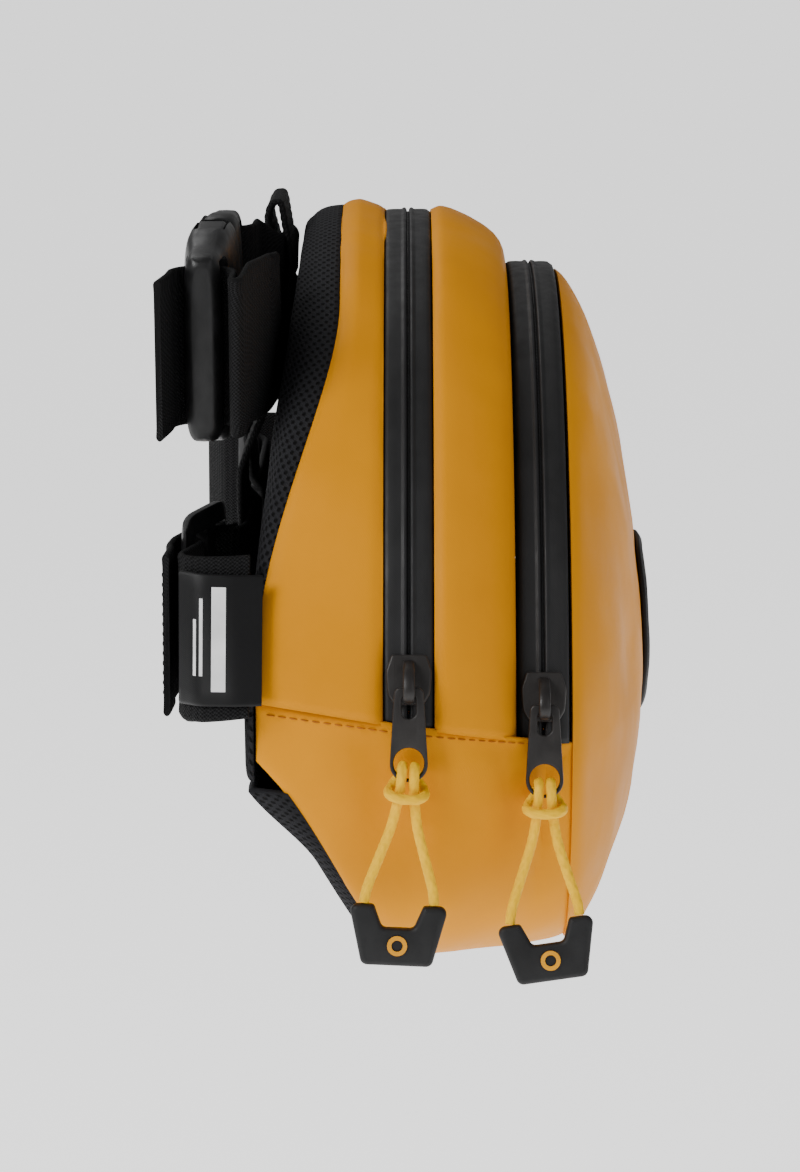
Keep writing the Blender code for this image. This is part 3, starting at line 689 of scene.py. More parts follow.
def tube_rows(points, radii, sides=8):
    """Rings of a tube along points, each turned as little as can be from the one before."""
    rows = []
    guide = Vector((0.0, 0.0, 1.0))
    for index, (point, radius) in enumerate(zip(points, radii)):
        ahead = (points[min(index + 1, len(points) - 1)] - points[max(index - 1, 0)]).normalized()
        side = ahead.cross(guide)
        if side.length < 0.2:
            side = ahead.cross(Vector((1.0, 0.0, 0.0)))
        side.normalize()
        guide = side.cross(ahead)
        turns = [tau * step / sides for step in range(sides)]
        rows.append([
            point + side * (cos(turn) * radius) + guide * (sin(turn) * radius) for turn in turns
        ])
    return rows


def joined(name, parts, finish, **options):
    """One object from several meshes."""
    work = bmesh.new()
    for part in parts:
        work.from_mesh(part)
        bpy.data.meshes.remove(part)
    mesh = bpy.data.meshes.new(name)
    work.to_mesh(mesh)
    work.free()
    return piece(name, mesh, finish, **options)


def stitch_meshes(line, outward, pitch=2.6, length=1.9, radius=0.2):
    """Short stitches along a line of points, each dipping into the cloth at its ends."""
    parts = []
    distance, target = 0.0, pitch * 0.5 * MM
    for index, (a, b) in enumerate(zip(line, line[1:])):
        span = (b - a).length
        while target <= distance + span:
            share = (target - distance) / span
            middle = a.lerp(b, share)
            out = outward[index].lerp(outward[index + 1], share).normalized()
            along = (b - a).normalized()
            points, radii = [], []
            for step in range(7):
                at = step / 3.0 - 1.0
                rise = 0.22 - 0.42 * at * at
                points.append(middle + along * (at * length * 0.5 * MM) + out * (rise * MM))
                radii.append(radius * MM * (1.0 - 0.45 * at * at))
            rings = tube_rows(points, radii, 6)
            parts.append(close_up(grid_mesh("stitch", rings, loop=True, centre=points[-1])))
            target += pitch * MM
        distance += span
    return parts


def seam_stitches():
    """The topstitching just below the bottom panel's two upper edges."""
    count = len(lower_path(0.0))
    for side, sign, column in (("left", -1.0, 1), ("right", 1.0, count - 2)):
        spots = [lower_point(column, count, 0.03 + 0.94 * step / 40.0, 0.75) for step in range(41)]
        line = [place(*spot) for spot in spots]
        stitches = stitch_meshes(line, [Vector((sign, 0.0, 0.0))] * len(line))
        # The hem thread's darker orange is painted shade.
        joined(f"hem_stitches_{side}", stitches, THREAD_PAINTED_SHADE, slot="coated_fabric")


def dome_depth(x, z):
    """Depth of the front panel's outer face near its middle."""
    reach = hypot(x, z - CENTRE_HEIGHT)
    angle = abs(degrees(atan2(x, z - CENTRE_HEIGHT)))
    full = between([(0, 97.0), (45, 105.0), (80, 119.0), (115, 110.0), (150, 66.0), (180, 60.0)], angle)
    return FRONT_EDGE + 1.0 + (FRONT_BULGE - 1.0) * bulge(reach / full) + front_swell(x, z)


def patch_outline(steps=72):
    """A rounded shield, widest near its top, as (x, z)."""
    points = []
    for step in range(steps):
        turn = tau * step / steps
        x, z = sin(turn), cos(turn)
        wide = 25.0 * (1.0 if z > 0 else 1.0 - 0.42 * z * z)
        tall = 20.0 if z > 0 else 25.5
        points.append((wide * squared(x, 0.55), PATCH_CENTRE + tall * squared(z, 0.75)))
    return points


def front_patch():
    shape = patch_outline()

    def ring(points, share, rise):
        spots = [(x * share, PATCH_CENTRE + (z - PATCH_CENTRE) * share) for x, z in points]
        return [place(x, dome_depth(x, z) + rise, z) for x, z in spots]
    rises = (
        (1.0, 0.1), (0.995, 0.7), (0.97, 1.0), (0.93, 0.85), (0.9, 0.95), (0.8, 1.05), (0.6, 1.1),
        (0.4, 1.1), (0.2, 1.1),
    )
    rows = [ring(shape, share, rise) for share, rise in rises]
    centre = place(0.0, dome_depth(0.0, PATCH_CENTRE) + 1.1, PATCH_CENTRE)
    panel("front_patch_cloth", rows, PATCH, "patch", 0.9, ("front_patch",), True, centre)
    line = ring(shape + shape[:1], 0.93, 0.9)
    stitches = stitch_meshes(line, [Vector((0.0, -1.0, 0.0))] * len(line), 2.4, 1.7, 0.17)
    joined("front_patch_stitches", stitches, BLACK_THREAD, slot="patch")


# ---------------------------------------------------------------- zips

def tape_half(zip_name, half, radius, low, high):
    """Half of a zip tape along the arch, rolled over where it meets the other half."""
    wide = high - low
    profile = [
        (0.0, -0.9), (0.6, -0.5), (1.1, -0.1), (1.8, 0.0), (wide * 0.5, 0.05), (wide - 1.7, 0.0),
        (wide - 1.35, 0.02), (wide - 1.1, 0.22), (wide - 0.75, 0.36), (wide - 0.4, 0.26),
        (wide - 0.15, -0.05), (wide, -0.6),
    ]
    rows = []
    for angle in arch_angles(arch_end(low), 220):
        row = []
        for at, rise in profile:
            depth = low + at if half == "rear" else high - at
            wobble = 0.10 * noise.noise(Vector((radians(angle) * 14.0, depth * 0.25, radius)))
            row.append(arc_point(radius + rise + wobble, angle, depth))
        rows.append(row if half == "rear" else row[::-1])
    panel(
        f"{zip_name}_tape_{half}", rows, TAPE, "zip_tape", 0.8, (f"{zip_name}_zip_tape_{half}",), smooth=50.0,
    )


def zip_tapes(zip_name, radius, depth):
    tape_half(zip_name, "rear", radius, depth - TAPE_HALF, depth - PARTING_HALF)
    tape_half(zip_name, "front", radius, depth + PARTING_HALF, depth + TAPE_HALF - 0.3)


def teeth(zip_name, radius, depth):
    """The closed coil below the parting, as a row of small ridges."""
    end = arch_end(depth - TAPE_HALF) - 1.4
    steps = int(radians(2.0 * end) * radius / 0.3)
    rows = []
    for angle in arch_angles(end, steps):
        ridge = 0.22 * cos(radians(angle) * radius * tau / 1.3)
        rows.append([
            arc_point(radius - 0.75 - drop + ridge * (1.0 - abs(side)), angle, depth + side * 0.85)
            for side, drop in ((-1.0, 0.35), (-0.45, 0.0), (0.45, 0.0), (1.0, 0.35))
        ])
    panel(f"{zip_name}_teeth", rows, COIL, "zip_coil", 0.3, smooth=60.0)


def frame_at(location, turn, axis="Y"):
    return Matrix.Translation(location) @ Matrix.Rotation(radians(turn), 4, axis)


def slider_frames(zip_name, radius, depth, rest):
    """The rest frames of a zip's slider body, pull tab, cord loop and grip."""
    body = frame_at(arc_point(radius, rest, depth), rest)
    pivot = Vector((-TAB_HANG, 0.0, PIVOT_HEIGHT[zip_name])) * MM
    tab = body @ frame_at(pivot, -TAB_LEAN[zip_name])
    loop = tab @ frame_at((-TAB_HOLE * MM, 0.0, 0.0), -LOOP_TURN[zip_name], "Z")
    loop = loop @ frame_at((0.0, 0.0, 0.0), TAB_LEAN[zip_name] - LOOP_LEAN[zip_name])
    grip = loop @ frame_at((-GRIP_TOP * MM, 0.0, 0.0), GRIP_TILT[zip_name], "Z")
    return body, tab, loop, grip


def rounded_corners(points, radii, steps=8):
    """A closed outline with each corner rounded to its own radius."""
    made = []
    for index, radius in enumerate(radii):
        corner = Vector(points[index])
        back = Vector(points[index - 1]) - corner
        ahead = Vector(points[(index + 1) % len(points)]) - corner
        half = 0.5 * back.angle(ahead)
        reach = min(radius / tan(half), back.length * 0.49, ahead.length * 0.49)
        middle = (back.normalized() + ahead.normalized()).normalized()
        centre = corner + middle * (reach * tan(half) / sin(half))
        start, end = [corner + way.normalized() * reach - centre for way in (back, ahead)]
        turn = start.angle_signed(end)
        for step in range(steps + 1):
            made.append(tuple(centre + Matrix.Rotation(-turn * step / steps, 2) @ start))
    return made


def plate_mesh(name, outlines, thickness, rounding, matrix):
    """A flat plate from an outline and its holes, with its edges rounded."""
    curve = bpy.data.curves.new(name, "CURVE")
    curve.dimensions = "2D"
    curve.fill_mode = "BOTH"
    curve.extrude = (thickness / 2 - rounding) * MM
    curve.bevel_depth = rounding * MM
    curve.bevel_resolution = 3
    curve.offset = -rounding * MM
    for outline_points in outlines:
        spline = curve.splines.new("POLY")
        spline.points.add(len(outline_points) - 1)
        for point, (x, y) in zip(spline.points, outline_points):
            point.co = (x * MM, y * MM, 0.0, 1.0)
        spline.use_cyclic_u = True
    maker = link(name, curve)
    mesh = evaluated_mesh(maker)
    bpy.data.objects.remove(maker)
    return close_up(mesh, matrix, weld=1e-7)


def evaluated_mesh(obj):
    bpy.context.view_layer.update()
    return bpy.data.meshes.new_from_object(obj.evaluated_get(bpy.context.evaluated_depsgraph_get()))


def circle(x, y, radius, steps=40):
    turns = [tau * step / steps for step in range(steps)]
    return [(x + radius * cos(turn), y + radius * sin(turn)) for turn in turns]


def squared(value, power):
    """Keeps the sign: powers below one turn a sine and cosine's circle into a rounded square."""
    return copysign(abs(value) ** power, value)


def swept_bar(name, path, wide, thick, matrix, sides=16):
    """A bar of rounded section along a path in its own XZ plane."""
    rows = []
    for index, (x, z) in enumerate(path):
        a, b = path[max(index - 1, 0)], path[min(index + 1, len(path) - 1)]
        along = Vector((b[0] - a[0], 0.0, b[1] - a[1])).normalized()
        out = Vector((-along.z, 0.0, along.x)) * (thick / 2)
        rows.append([
            (Vector((x, wide / 2 * squared(c, 0.7), z)) + out * squared(s, 0.8)) * MM
            for c, s in circle(0.0, 0.0, 1.0, sides)
        ])
    return close_up(grid_mesh(name, rows, loop=True), matrix)


def slider(zip_name, radius, depth, rest):
    """A zip's slider, pull tab and grip. Gives back the cord loop's frame."""
    body, tab, loop, grip = slider_frames(zip_name, radius, depth, rest)
    shield = rounded_corners(
        [(6.0, -4.0), (2.0, -5.3), (-3.0, -4.9), (-5.6, -3.4), (-5.6, 3.4), (-3.0, 4.9), (2.0, 5.3), (6.0, 4.0)],
        [0.9, 4.0, 3.0, 1.4, 1.4, 3.0, 4.0, 0.9],
    )
    web = rounded_corners([(4.6, -0.5), (0.5, -0.5), (0.5, 0.5), (4.6, 0.5)], [0.2] * 4)
    parts = [
        plate_mesh("slider", [shape], thickness, rounding, body @ Matrix.Translation((0.0, 0.0, rise * MM)))
        for shape, thickness, rounding, rise in (
            (shield, 1.7, 0.55, 1.2), (shield, 1.5, 0.4, -3.7), (web, 5.0, 0.1, -1.4),
        )
    ]
    foot, top = 1.3, PIVOT_HEIGHT[zip_name] + 2.2
    path = []
    for step in range(25):
        turn = radians(180.0 * step / 24)
        along = 4.2 * cos(turn) - 2.6 * sin(turn)
        path.append((along, foot + (top - foot) * sin(turn) ** 0.65))
    parts.append(swept_bar("bail", path, 2.7, 1.3, body))
    plate = rounded_corners([(0.9, -3.3), (-20.6, -4.6), (-20.6, 4.6), (0.9, 3.3)], [1.6, 4.0, 4.0, 1.6])
    slot = rounded_corners([(-0.8, -1.7), (-0.8, 1.7), (-6.2, 1.7), (-6.2, -1.7)], [1.6] * 4)
    flat = plate_mesh("tab", [plate, slot, circle(-TAB_HOLE, 0.0, 3.5)], 1.5, 0.4, tab)
    half = [(3.6, 5.2), (5.7, 0.0), (11.4, 0.0), (8.0, GRIP_HEIGHT)]
    points = [(-down, across) for across, down in half] + [(-down, -across) for across, down in reversed(half)]
    edge = rounded_corners(points, [1.4, 0.9, 1.7, 1.7, 1.7, 1.7, 0.9, 1.4])
    handle = plate_mesh("grip", [edge], GRIP_THICK, 1.1, grip)
    for part, meshes, finish, carrier, replaced, slot in (
        ("slider_body", parts, METAL, "slider", "slider", "painted_metal"),
        ("tab_plate", [flat], METAL, "pull_tab", "pull_tab", "painted_metal"),
        ("grip_moulding", [handle], RUBBER, "pull_loop", "grip", "grip_rubber"),
    ):
        joined(
            f"{zip_name}_{part}", meshes, finish, body=f"{zip_name}_{carrier}",
            replaces=(f"{zip_name}_{replaced}",), slot=slot, smooth=40.0,
        )
    return loop


# ---------------------------------------------------------------- pull cords

# Half of the hitch: from the middle of its front bight round the tab's lower rim and down one
# strand to the grip, as (across, down, outward) from the tab's hole in millimetres.
HITCH = [
    (0.0, 7.9, 4.5), (2.2, 7.8, 4.3), (3.8, 7.2, 2.75), (4.1, 6.6, 0.2), (3.5, 5.6, -1.9), (2.2, 3.6, -2.5),
    (1.5, 1.6, -1.9), (1.35, 0.7, 0.0), (1.35, 1.5, 1.9), (1.45, 3.6, 2.45), (1.6, 6.2, 2.05), (2.0, 9.4, 1.3),
    (3.1, 15.0, 0.5), (5.3, 22.0, 0.1), (7.4, 28.6, 0.0), (8.0, GRIP_TOP - 0.3, 0.0),
]


def smooth_route(route, per_span):
    """Points along a smooth curve through the route's own points."""
    padded = route[:1] + route + route[-1:]
    made = []
    for a, b, c, d in zip(padded, padded[1:], padded[2:], padded[3:]):
        for step in range(per_span):
            t = step / per_span
            made.append(tuple(
                0.5 * (2 * q + (r - p) * t + (2 * p - 5 * q + 4 * r - s) * t ** 2
                       + (3 * q - p - 3 * r + s) * t ** 3)
                for p, q, r, s in zip(a, b, c, d)
            ))
    return made + route[-1:]


def even_spots(points, step):
    """Even steps along a line of points, each as (point's index, share of the way to the next)."""
    lengths = lengths_along(points)
    count = max(int(lengths[-1] / step), 2)
    spots, index = [], 0
    for number in range(count + 1):
        target = lengths[-1] * number / count
        while index < len(points) - 2 and lengths[index + 1] < target:
            index += 1
        spots.append((index, (target - lengths[index]) / (lengths[index + 1] - lengths[index])))
    return spots, lengths[-1]


def pull_cord(zip_name, frame_matrix):
    whole = [(-across, down, out) for across, down, out in reversed(HITCH[1:])] + HITCH
    slope = tan(radians(GRIP_TILT[zip_name]))
    hung = [(across, down + slope * across * (down / GRIP_TOP) ** 3, out) for across, down, out in whole]
    line = [
        frame_matrix @ Vector((-down * MM, across * MM, out * MM))
        for across, down, out in smooth_route(hung, 10)
    ]
    spots, length = even_spots(line, 0.22 * MM)
    points = [line[index].lerp(line[index + 1], share) for index, share in spots]
    rows = []
    rings = tube_rows(points, [CORD / 2 * MM] * len(points), CORD_SIDES)
    for index, (point, ring) in enumerate(zip(points, rings)):
        lean = length * index / (len(points) - 1) / BRAID_PITCH * tau
        row = []
        for step, spot in enumerate(ring):
            turn = 4 * tau * step / CORD_SIDES
            braid = max(sin(turn + lean), sin(turn - lean))
            row.append(point + (spot - point) * (0.91 + 0.09 * braid))
        rows.append(row)
    obj = piece(
        f"{zip_name}_braided_cord", close_up(grid_mesh(f"{zip_name}_braided_cord", rows, loop=True)), CORD_FINISH,
        body=f"{zip_name}_pull_loop", replaces=(f"{zip_name}_pull_cord",), slot="cord", smooth=80.0,
    )


# ---------------------------------------------------------------- belt

UP = (0.0, 0.0, WEB / 2)


def glide_point(sign, along, out):
    """A point beside the adjuster: along its length towards the bag's middle, and out behind."""
    turn = radians(GLIDE_YAW)
    x = GLIDE_CENTRE[0] + along * cos(turn) + out * sin(turn)
    depth = GLIDE_CENTRE[1] + along * sin(turn) - out * cos(turn)
    return (-sign * x, depth, GLIDE_CENTRE[2])


def wall(sign, share):
    """Half the webbing's width, leaning with the bag's side at its seam and upright at share 1."""
    lean = radians(21.0) * (1.0 - share)
    return (-sign * WEB / 2 * sin(lean), 0.0, WEB / 2 * cos(lean))


def belt_start(sign):
    """From the side seam, through the adjuster's two slots, towards the bag's middle."""
    side = (
        (131.2, -34.4, 86.6, 0.0), (131.9, -40.0, 86.2, 0.1), (131.0, -45.0, 85.8, 0.3),
        (127.0, -49.2, 85.4, 0.6), (120.0, -50.6, 85.2, 0.9),
    )
    through = (
        (-18.0, -2.8), (-11.0, -2.8), (-7.2, 0.0), (-4.2, 2.7), (4.2, 2.7), (6.4, 0.0),
        (8.0, -3.2), (11.0, -5.2), (18.0, -5.2),
    )
    rows = [((sign * x, depth, z), wall(sign, share)) for x, depth, z, share in side]
    return rows + [(glide_point(sign, along, out), UP) for along, out in through]


def fold(centre, half, apart):
    """Two rows either side of a diagonal crease, so that the two layers lie a little apart."""
    x, depth, z = centre
    return [((x, depth, z), half), ((x, depth + apart, z), half)]


def buckle_matrix():
    turn = Matrix.Rotation(radians(-BUCKLE_YAW), 4, "Z")
    pitch = Matrix.Rotation(radians(-BUCKLE_PITCH), 4, "Y")
    return Matrix.Translation(place(*BUCKLE_CENTRE)) @ turn @ pitch


def buckle_point(along, out):
    """A point beside the buckle as (x, depth, z): along its length and out behind it."""
    point = buckle_matrix() @ Vector((along * MM, out * MM, 0.0)) / MM
    return (point.x, -point.y - BACK_MIDDLE, point.z + BELT_HEIGHT)


def through_buckle(*route):
    """Rows of the belt past (along, out) points of the buckle, each across the buckle's width."""
    turned = buckle_matrix().to_3x3() @ Vector((0.0, 0.0, -WEB / 2))
    return [(buckle_point(along, out), (turned.x, -turned.y, turned.z)) for along, out in route]


def left_rows():
    rows = belt_start(-1.0)
    rows += fold((-54.0, -37.2, 85.0), (WEB / 2, 0.0, WEB / 2), 2.2)
    across = (WEB / 2, 0.0, 0.0)
    for depth, height in ((-38.6, 107.0), (-38.6, 116.0), (-34.6, 126.0), (-32.4, 131.0)):
        rows.append(((-54.0, depth, height), across))
    rows += fold((-54.0, -31.6, 150.0), (WEB / 2, 0.0, -WEB / 2), 2.2)
    for x, depth in ((-76.0, -31.6), (-88.0, -33.6), (-98.0, -35.4)):
        rows.append(((x, depth, 150.0), (0.0, 0.0, -WEB / 2)))
    return rows + through_buckle(
        (-41.0, -9.8), (-42.6, -8.6), (-41.0, -7.6), (-34.0, -7.5), (-30.6, -7.5), (-27.3, -5.2),
        (-26.0, 0.0), (-27.3, 5.2), (-30.6, 7.5), (-36.0, 7.6), (-46.0, 9.0),
    )


def right_rows():
    rows = belt_start(1.0)
    rows.append(((24.0, -37.0, 85.0), UP))
    rows += fold((-1.0, -37.6, 85.0), (-WEB / 2, 0.0, WEB / 2), 2.2)
    across = (-WEB / 2, 0.0, 0.0)
    loops = [
        (-38.0, 107.0), (-39.4, 120.0), (-38.8, 131.0), (-38.4, 139.0), (-35.4, 147.0),
        (-31.4, 152.0), (-32.8, 157.0), (-31.2, 164.0), (-33.6, 172.0), (-32.6, 176.4),
        (-30.0, 177.2), (-29.0, 171.0), (-27.6, 163.0), (-28.0, 156.0),
    ]
    for depth, height in loops:
        rows.append(((-1.0, depth, height), across))
    rows += fold((-1.0, -26.8, 149.0), (-WEB / 2, 0.0, -WEB / 2), -2.2)
    rows.append(((-22.0, -29.8, 149.6), (0.0, 0.0, -WEB / 2)))
    return rows + through_buckle(
        (40.0, -6.7), (31.6, -6.7), (28.4, -4.8), (27.2, 0.0), (28.4, 4.8), (31.6, 6.7), (43.0, 6.5),
    )


def tail_rows(sign):
    route = (
        (16.5, -2.9), (14.0, -2.9), (11.3, -2.4), (9.9, 0.8), (7.2, 4.4), (0.0, 5.0),
        (-8.0, 5.0), (-16.0, 3.6), (-22.0, 1.6), (-33.0, -0.6),
    )
    return [(glide_point(sign, along, out), UP) for along, out in route]


def smoothed_rows(rows, step, passes):
    """The rows resampled at an even spacing and relaxed, so that each bend is round."""
    centres = [place(*centre) for centre, _ in rows]
    halves = [Vector((x, -depth, z)) * MM for _, (x, depth, z) in rows]
    points = [
        [line[index].lerp(line[index + 1], share) for line in (centres, halves)]
        for index, share in even_spots(centres, step * MM)[0]
    ]
    for _ in range(passes):
        relaxed = [points[0]]
        for a, b, c in zip(points, points[1:], points[2:]):
            relaxed.append([(a[k] + 2.0 * b[k] + c[k]) / 4.0 for k in (0, 1)])
        points = relaxed + points[-1:]
    return points


def ribbon(name, rows, finish, thickness, replaces, slot, rib=0.2, columns=15, spacing=0.33, passes=26):
    """Webbing with ribs across its width and rounded edges."""
    points = smoothed_rows(rows, spacing, passes)
    rim = [0.95, 0.975, 0.992, 1.0]
    shares = [-share for share in reversed(rim)]
    shares += [-0.95 + 1.9 * step / (columns + 1) for step in range(1, columns + 1)] + rim
    rings = []
    travelled = 0.0
    for index, (centre, half) in enumerate(points):
        before, after = points[max(index - 1, 0)], points[min(index + 1, len(points) - 1)]
        travelled += (centre - before[0]).length
        ridge = abs(sin(pi * travelled / RIB_PITCH)) ** 0.7 if rib else 0.0
        upper, lower = [], []
        for share in shares:
            spot = centre + half * share
            ahead = (after[0] + after[1] * share) - (before[0] + before[1] * share)
            normal = ahead.cross(half).normalized()
            edge = min((1.0 - abs(share)) / 0.05, 1.0)
            body = thickness / 2 * sqrt(max(1.0 - (1.0 - edge) ** 2, 0.0))
            grow = body + rib * (ridge - 0.6) * min(edge * 1.5, 1.0)
            grow += 0.12 * exp(-((abs(share) - 0.955) / 0.02) ** 2)
            upper.append(spot + normal * (grow * MM))
            lower.append(spot - normal * (grow * MM))
        rings.append(upper + lower[-2:0:-1])
    mesh = close_up(grid_mesh(name, rings, loop=True))
    return piece(name, mesh, finish, replaces=replaces, slot=slot, smooth=80.0)


def tail_stitches(side, sign):
    """Two rows of stitches that hold the hem at the tail's free end."""
    turn = radians(GLIDE_YAW)
    out = Vector((-sign * sin(turn), cos(turn), 0.0))
    parts = []
    for along, lift, spots in ((-30.5, 0.75, 7), (-25.5, 1.75, 3)):
        x, depth, z = glide_point(sign, along, lift)
        line = [place(x, depth, z - 15.0 + 30.0 * spot / (spots - 1)) for spot in range(spots)]
        parts += stitch_meshes(line, [out] * spots, 2.3, 1.7)
    joined(f"belt_tail_stitches_{side}", parts, BLACK_THREAD, slot="webbing")


def loft(name, sections, matrix):
    """A closed body through sections of (x, half height, half thickness, squareness) along its X."""
    ring = circle(0.0, 0.0, 1.0, 48)
    rows = [
        [Vector((x, thick * squared(s, square), tall * squared(c, square))) * MM for c, s in ring]
        for x, tall, thick, square in sections
    ]
    return close_up(grid_mesh(name, rows, loop=True), matrix)


def rounded_box(low, high, rounding, matrix):
    mesh = bpy.data.meshes.new("box")
    work = bmesh.new()
    bmesh.ops.create_cube(work, size=1.0)
    for vertex in work.verts:
        vertex.co = Vector([(a + b) / 2 + c * (b - a) for a, b, c in zip(low, high, vertex.co)]) * MM
    edges = list(work.edges)
    bmesh.ops.bevel(work, geom=edges, offset=rounding * MM, segments=4, profile=0.5, affect="EDGES")
    work.to_mesh(mesh)
    work.free()
    mesh.transform(matrix)
    return mesh


def moulding(name, sections, matrix, replaced, cuts):
    """A lofted plastic body with boxes of (low corner, high corner, rounding) cut out of it."""
    obj = joined(
        name, [loft(name, sections, matrix)], PLASTIC, replaces=(replaced,), slot="buckle_plastic", smooth=32.0,
    )
    cutters = [link(f"{name}_cutter", rounded_box(*box, matrix)) for box in cuts]
    for cutter in cutters:
        modifier = obj.modifiers.new("Cut", "BOOLEAN")
        modifier.operation = "DIFFERENCE"
        modifier.solver = "EXACT"
        modifier.object = cutter
    made, old = evaluated_mesh(obj), obj.data
    obj.modifiers.clear()
    obj.data = made
    bpy.data.meshes.remove(old)
    for cutter in cutters:
        mesh = cutter.data
        bpy.data.objects.remove(cutter)
        bpy.data.meshes.remove(mesh)
    made.shade_smooth()
    made.set_sharp_from_angle(angle=radians(32.0))


def adjuster(side, sign):
    matrix = frame_at(place(*glide_point(sign, 0.0, 0.0)), GLIDE_YAW * sign, "Z")
    sections = []
    for step in range(17):
        t = step / 8.0 - 1.0
        round_off = (1.0 - abs(t) ** 6.0) ** 0.5
        sections.append((16.0 * t, 25.0 * (0.86 + 0.14 * round_off), 1.9 * (0.25 + 0.75 * round_off), 0.42))
    slots = [((low, -4.0, -20.4), (high, 4.0, 20.4), 1.2) for low, high in ((-12.5, -3.0), (3.0, 12.5))]
    moulding(f"adjuster_frame_{side}", sections, matrix, f"adjuster_{side}", slots)


def buckle():
    """In the buckle's frame +X is the male end, Z is across its width and Y its thickness."""
    matrix = buckle_matrix()
    socket = [
        (-34.0, 19.6, 2.2, 0.5), (-33.6, 21.0, 3.2, 0.45), (-32.4, 22.0, 4.2, 0.42), (-30.0, 22.4, 4.6, 0.4),
        (-26.0, 22.6, 4.7, 0.4), (-21.5, 23.2, 5.0, 0.4), (-18.0, 24.8, 5.7, 0.42), (-14.5, 25.8, 6.1, 0.44),
        (-9.0, 26.0, 6.3, 0.46), (-3.0, 25.8, 6.2, 0.46), (2.0, 25.0, 6.0, 0.46), (5.5, 23.8, 5.6, 0.46),
        (7.5, 22.6, 5.1, 0.46), (8.0, 22.0, 4.8, 0.46),
    ]
    pocket = ((-16.0, -3.8, -21.0), (12.0, 3.8, 21.0), 1.0)
    windows = ((-14.6, -3.7, -30.0), (2.0, 3.7, 30.0), 1.5)
    web_slot = ((-30.0, -8.0, -20.4), (-20.0, 8.0, 20.4), 1.6)
    moulding("buckle_socket", socket, matrix, "buckle_female", [pocket, windows, web_slot])
    plug = [
        (8.6, 20.0, 3.9, 0.46), (9.2, 22.4, 4.7, 0.46), (11.0, 23.8, 5.2, 0.46), (15.0, 24.2, 5.3, 0.44),
        (20.0, 23.8, 4.8, 0.42), (25.0, 23.0, 4.3, 0.4), (31.0, 22.4, 4.2, 0.4), (34.0, 21.8, 3.9, 0.42),
        (35.6, 20.8, 3.0, 0.46), (36.0, 19.8, 2.2, 0.5),
    ]
    web_slot = ((22.6, -8.0, -20.4), (31.0, 8.0, 20.4), 1.4)
    moulding("buckle_plug", plug, matrix, "buckle_male", [web_slot])
    guide = rounded_box((-12.0, -1.6, -3.0), (9.4, 1.6, 3.0), 1.0, matrix)
    joined("buckle_guide", [guide], PLASTIC, slot="buckle_plastic")
    half = [
        (-0.2, -1.6), (-9.0, -1.4), (-13.0, -2.0), (-21.6, -1.2), (-21.8, 3.0), (-20.0, 7.8),
        (-12.0, 8.8), (-8.6, 7.0), (-8.0, 3.6), (-4.0, 1.8), (-0.2, 1.6),
    ]
    radii = [0.4, 6.0, 6.0, 1.2, 2.0, 3.0, 3.0, 2.0, 1.6, 4.0, 0.4]
    for side, sign in (("upper", 1), ("lower", -1)):
        edge = rounded_corners([(x, -sign * z) for x, z in half[::-sign]], radii[::-sign])
        pivot = matrix @ frame_at(Vector((7.6, 0.0, sign * 17.0)) * MM, -90.0, "X")
        joined(
            f"buckle_arm_{side}", [plate_mesh("prong", [edge], 6.6, 0.9, pivot)], PLASTIC, body=f"prong_{side}",
            replaces=(f"buckle_prong_{side}",), slot="buckle_plastic", smooth=40.0,
        )


def label_rows():
    rows = []
    route = ((-133.2, -31.4, 0.0), (-133.8, -38.2, 0.1), (-132.6, -45.8, 0.3), (-128.4, -50.4, 0.6))
    for x, depth, share in route:
        rows.append(((x, depth, 86.0), [value * 15.2 / (WEB / 2) for value in wall(-1.0, share)]))
    return rows


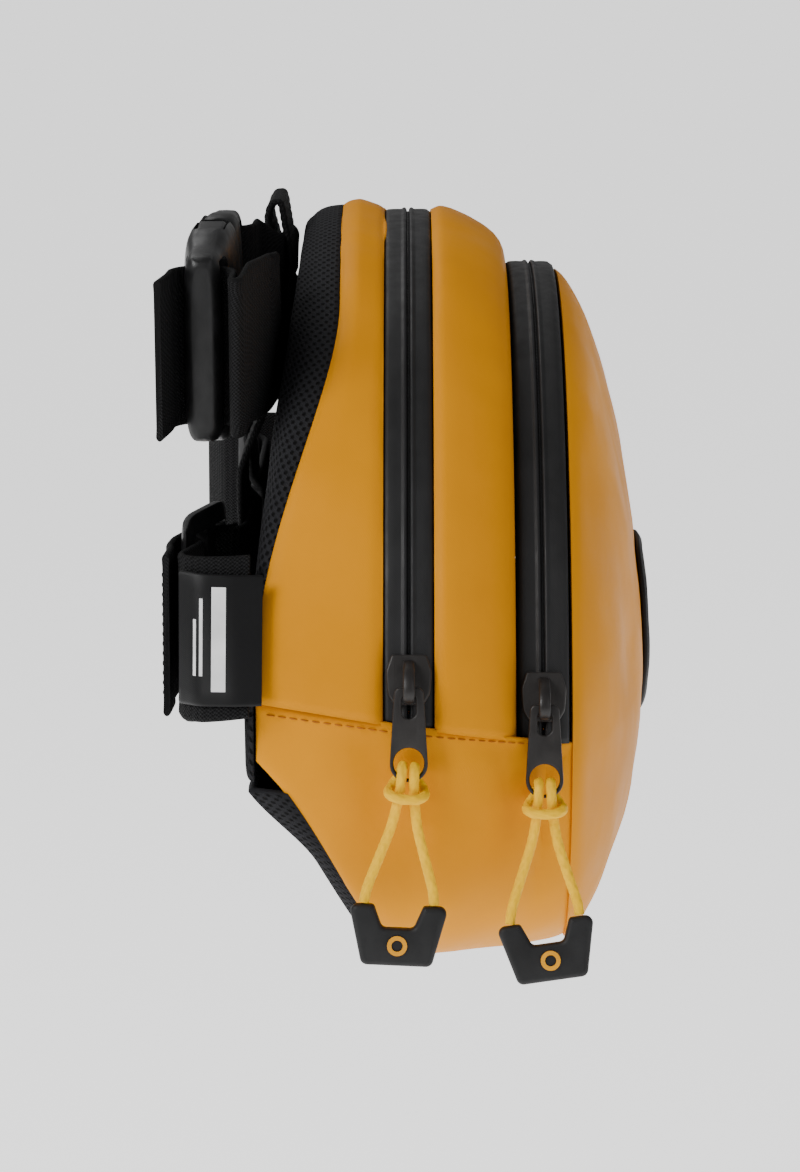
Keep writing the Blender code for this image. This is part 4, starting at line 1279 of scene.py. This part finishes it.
def side_label():
    """A black satin label wrapped round the belt at the side seam, with plain pale bars."""
    ribbon(
        "side_label_satin", label_rows(), SATIN, 0.6, ("side_label",), "satin_label", rib=0.0, columns=9,
        spacing=LABEL_STEP, passes=LABEL_PASSES,
    )
    points = smoothed_rows(label_rows(), LABEL_STEP, LABEL_PASSES)
    parts = []
    bars = ((0.40, 0.56, -0.78, 0.80), (0.66, 0.70, -0.55, 0.62), (0.74, 0.78, -0.55, 0.30))
    for start, end, low, high in bars:
        strip = []
        for step in range(7):
            at = (start + (end - start) * step / 6) * (len(points) - 1)
            a, b = points[int(at)], points[min(int(at) + 1, len(points) - 1)]
            centre, half = a[0].lerp(b[0], at % 1.0), a[1].lerp(b[1], at % 1.0)
            normal = (b[0] - a[0]).cross(half).normalized()
            if normal.x > 0:
                normal.negate()
            across = [low + (high - low) * column / 8 for column in range(9)]
            strip.append([centre + half * share + normal * (0.36 * MM) for share in across])
        parts.append(grid_mesh("bar", strip))
    joined("side_label_bars", parts, PRINT, slot="satin_label")


# ---------------------------------------------------------------- carried-over nodes

def dress_carried():
    carried = {"divider": LINING, "back_foam": FOAM}
    for zip_name in ("main", "front"):
        carried[f"{zip_name}_badge"] = BADGE
        carried.update((f"{zip_name}_zip_coil_{end}", COIL) for end in ("rear", "front"))
        carried.update((f"{zip_name}_zip_stop_{side}", METAL) for side in ("left", "right"))
    for name, finish in carried.items():
        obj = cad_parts[name]
        if not obj.data.materials:
            obj.data.materials.append(finish)
        for slot in obj.material_slots:
            slot.material = finish


make_camera()
for zip_name, radius, depth, rest in (
    ("main", MAIN_RADIUS, MAIN_DEPTH, MAIN_REST), ("front", FRONT_RADIUS, FRONT_DEPTH, FRONT_REST),
):
    pull_cord(zip_name, slider(zip_name, radius, depth, rest))
    zip_tapes(zip_name, radius, depth)
    teeth(zip_name, radius, depth)
make_studio()
rear_gusset()
middle_gusset()
front_panel()
bottom_panel()
seam_stitches()
back_panel()
lower_back_panel()
front_patch()
ribbon("belt_left_webbing", left_rows(), WEBBING, WEB_THICK, ("belt_left",), "webbing")
ribbon("belt_right_webbing", right_rows(), WEBBING, WEB_THICK, ("belt_right",), "webbing")
for side, sign in (("left", -1.0), ("right", 1.0)):
    ribbon(f"belt_tail_webbing_{side}", tail_rows(sign), WEBBING, 1.5, (f"belt_tail_{side}",), "webbing", rib=0.26)
    tail_stitches(side, sign)
    adjuster(side, sign)
buckle()
side_label()
dress_carried()
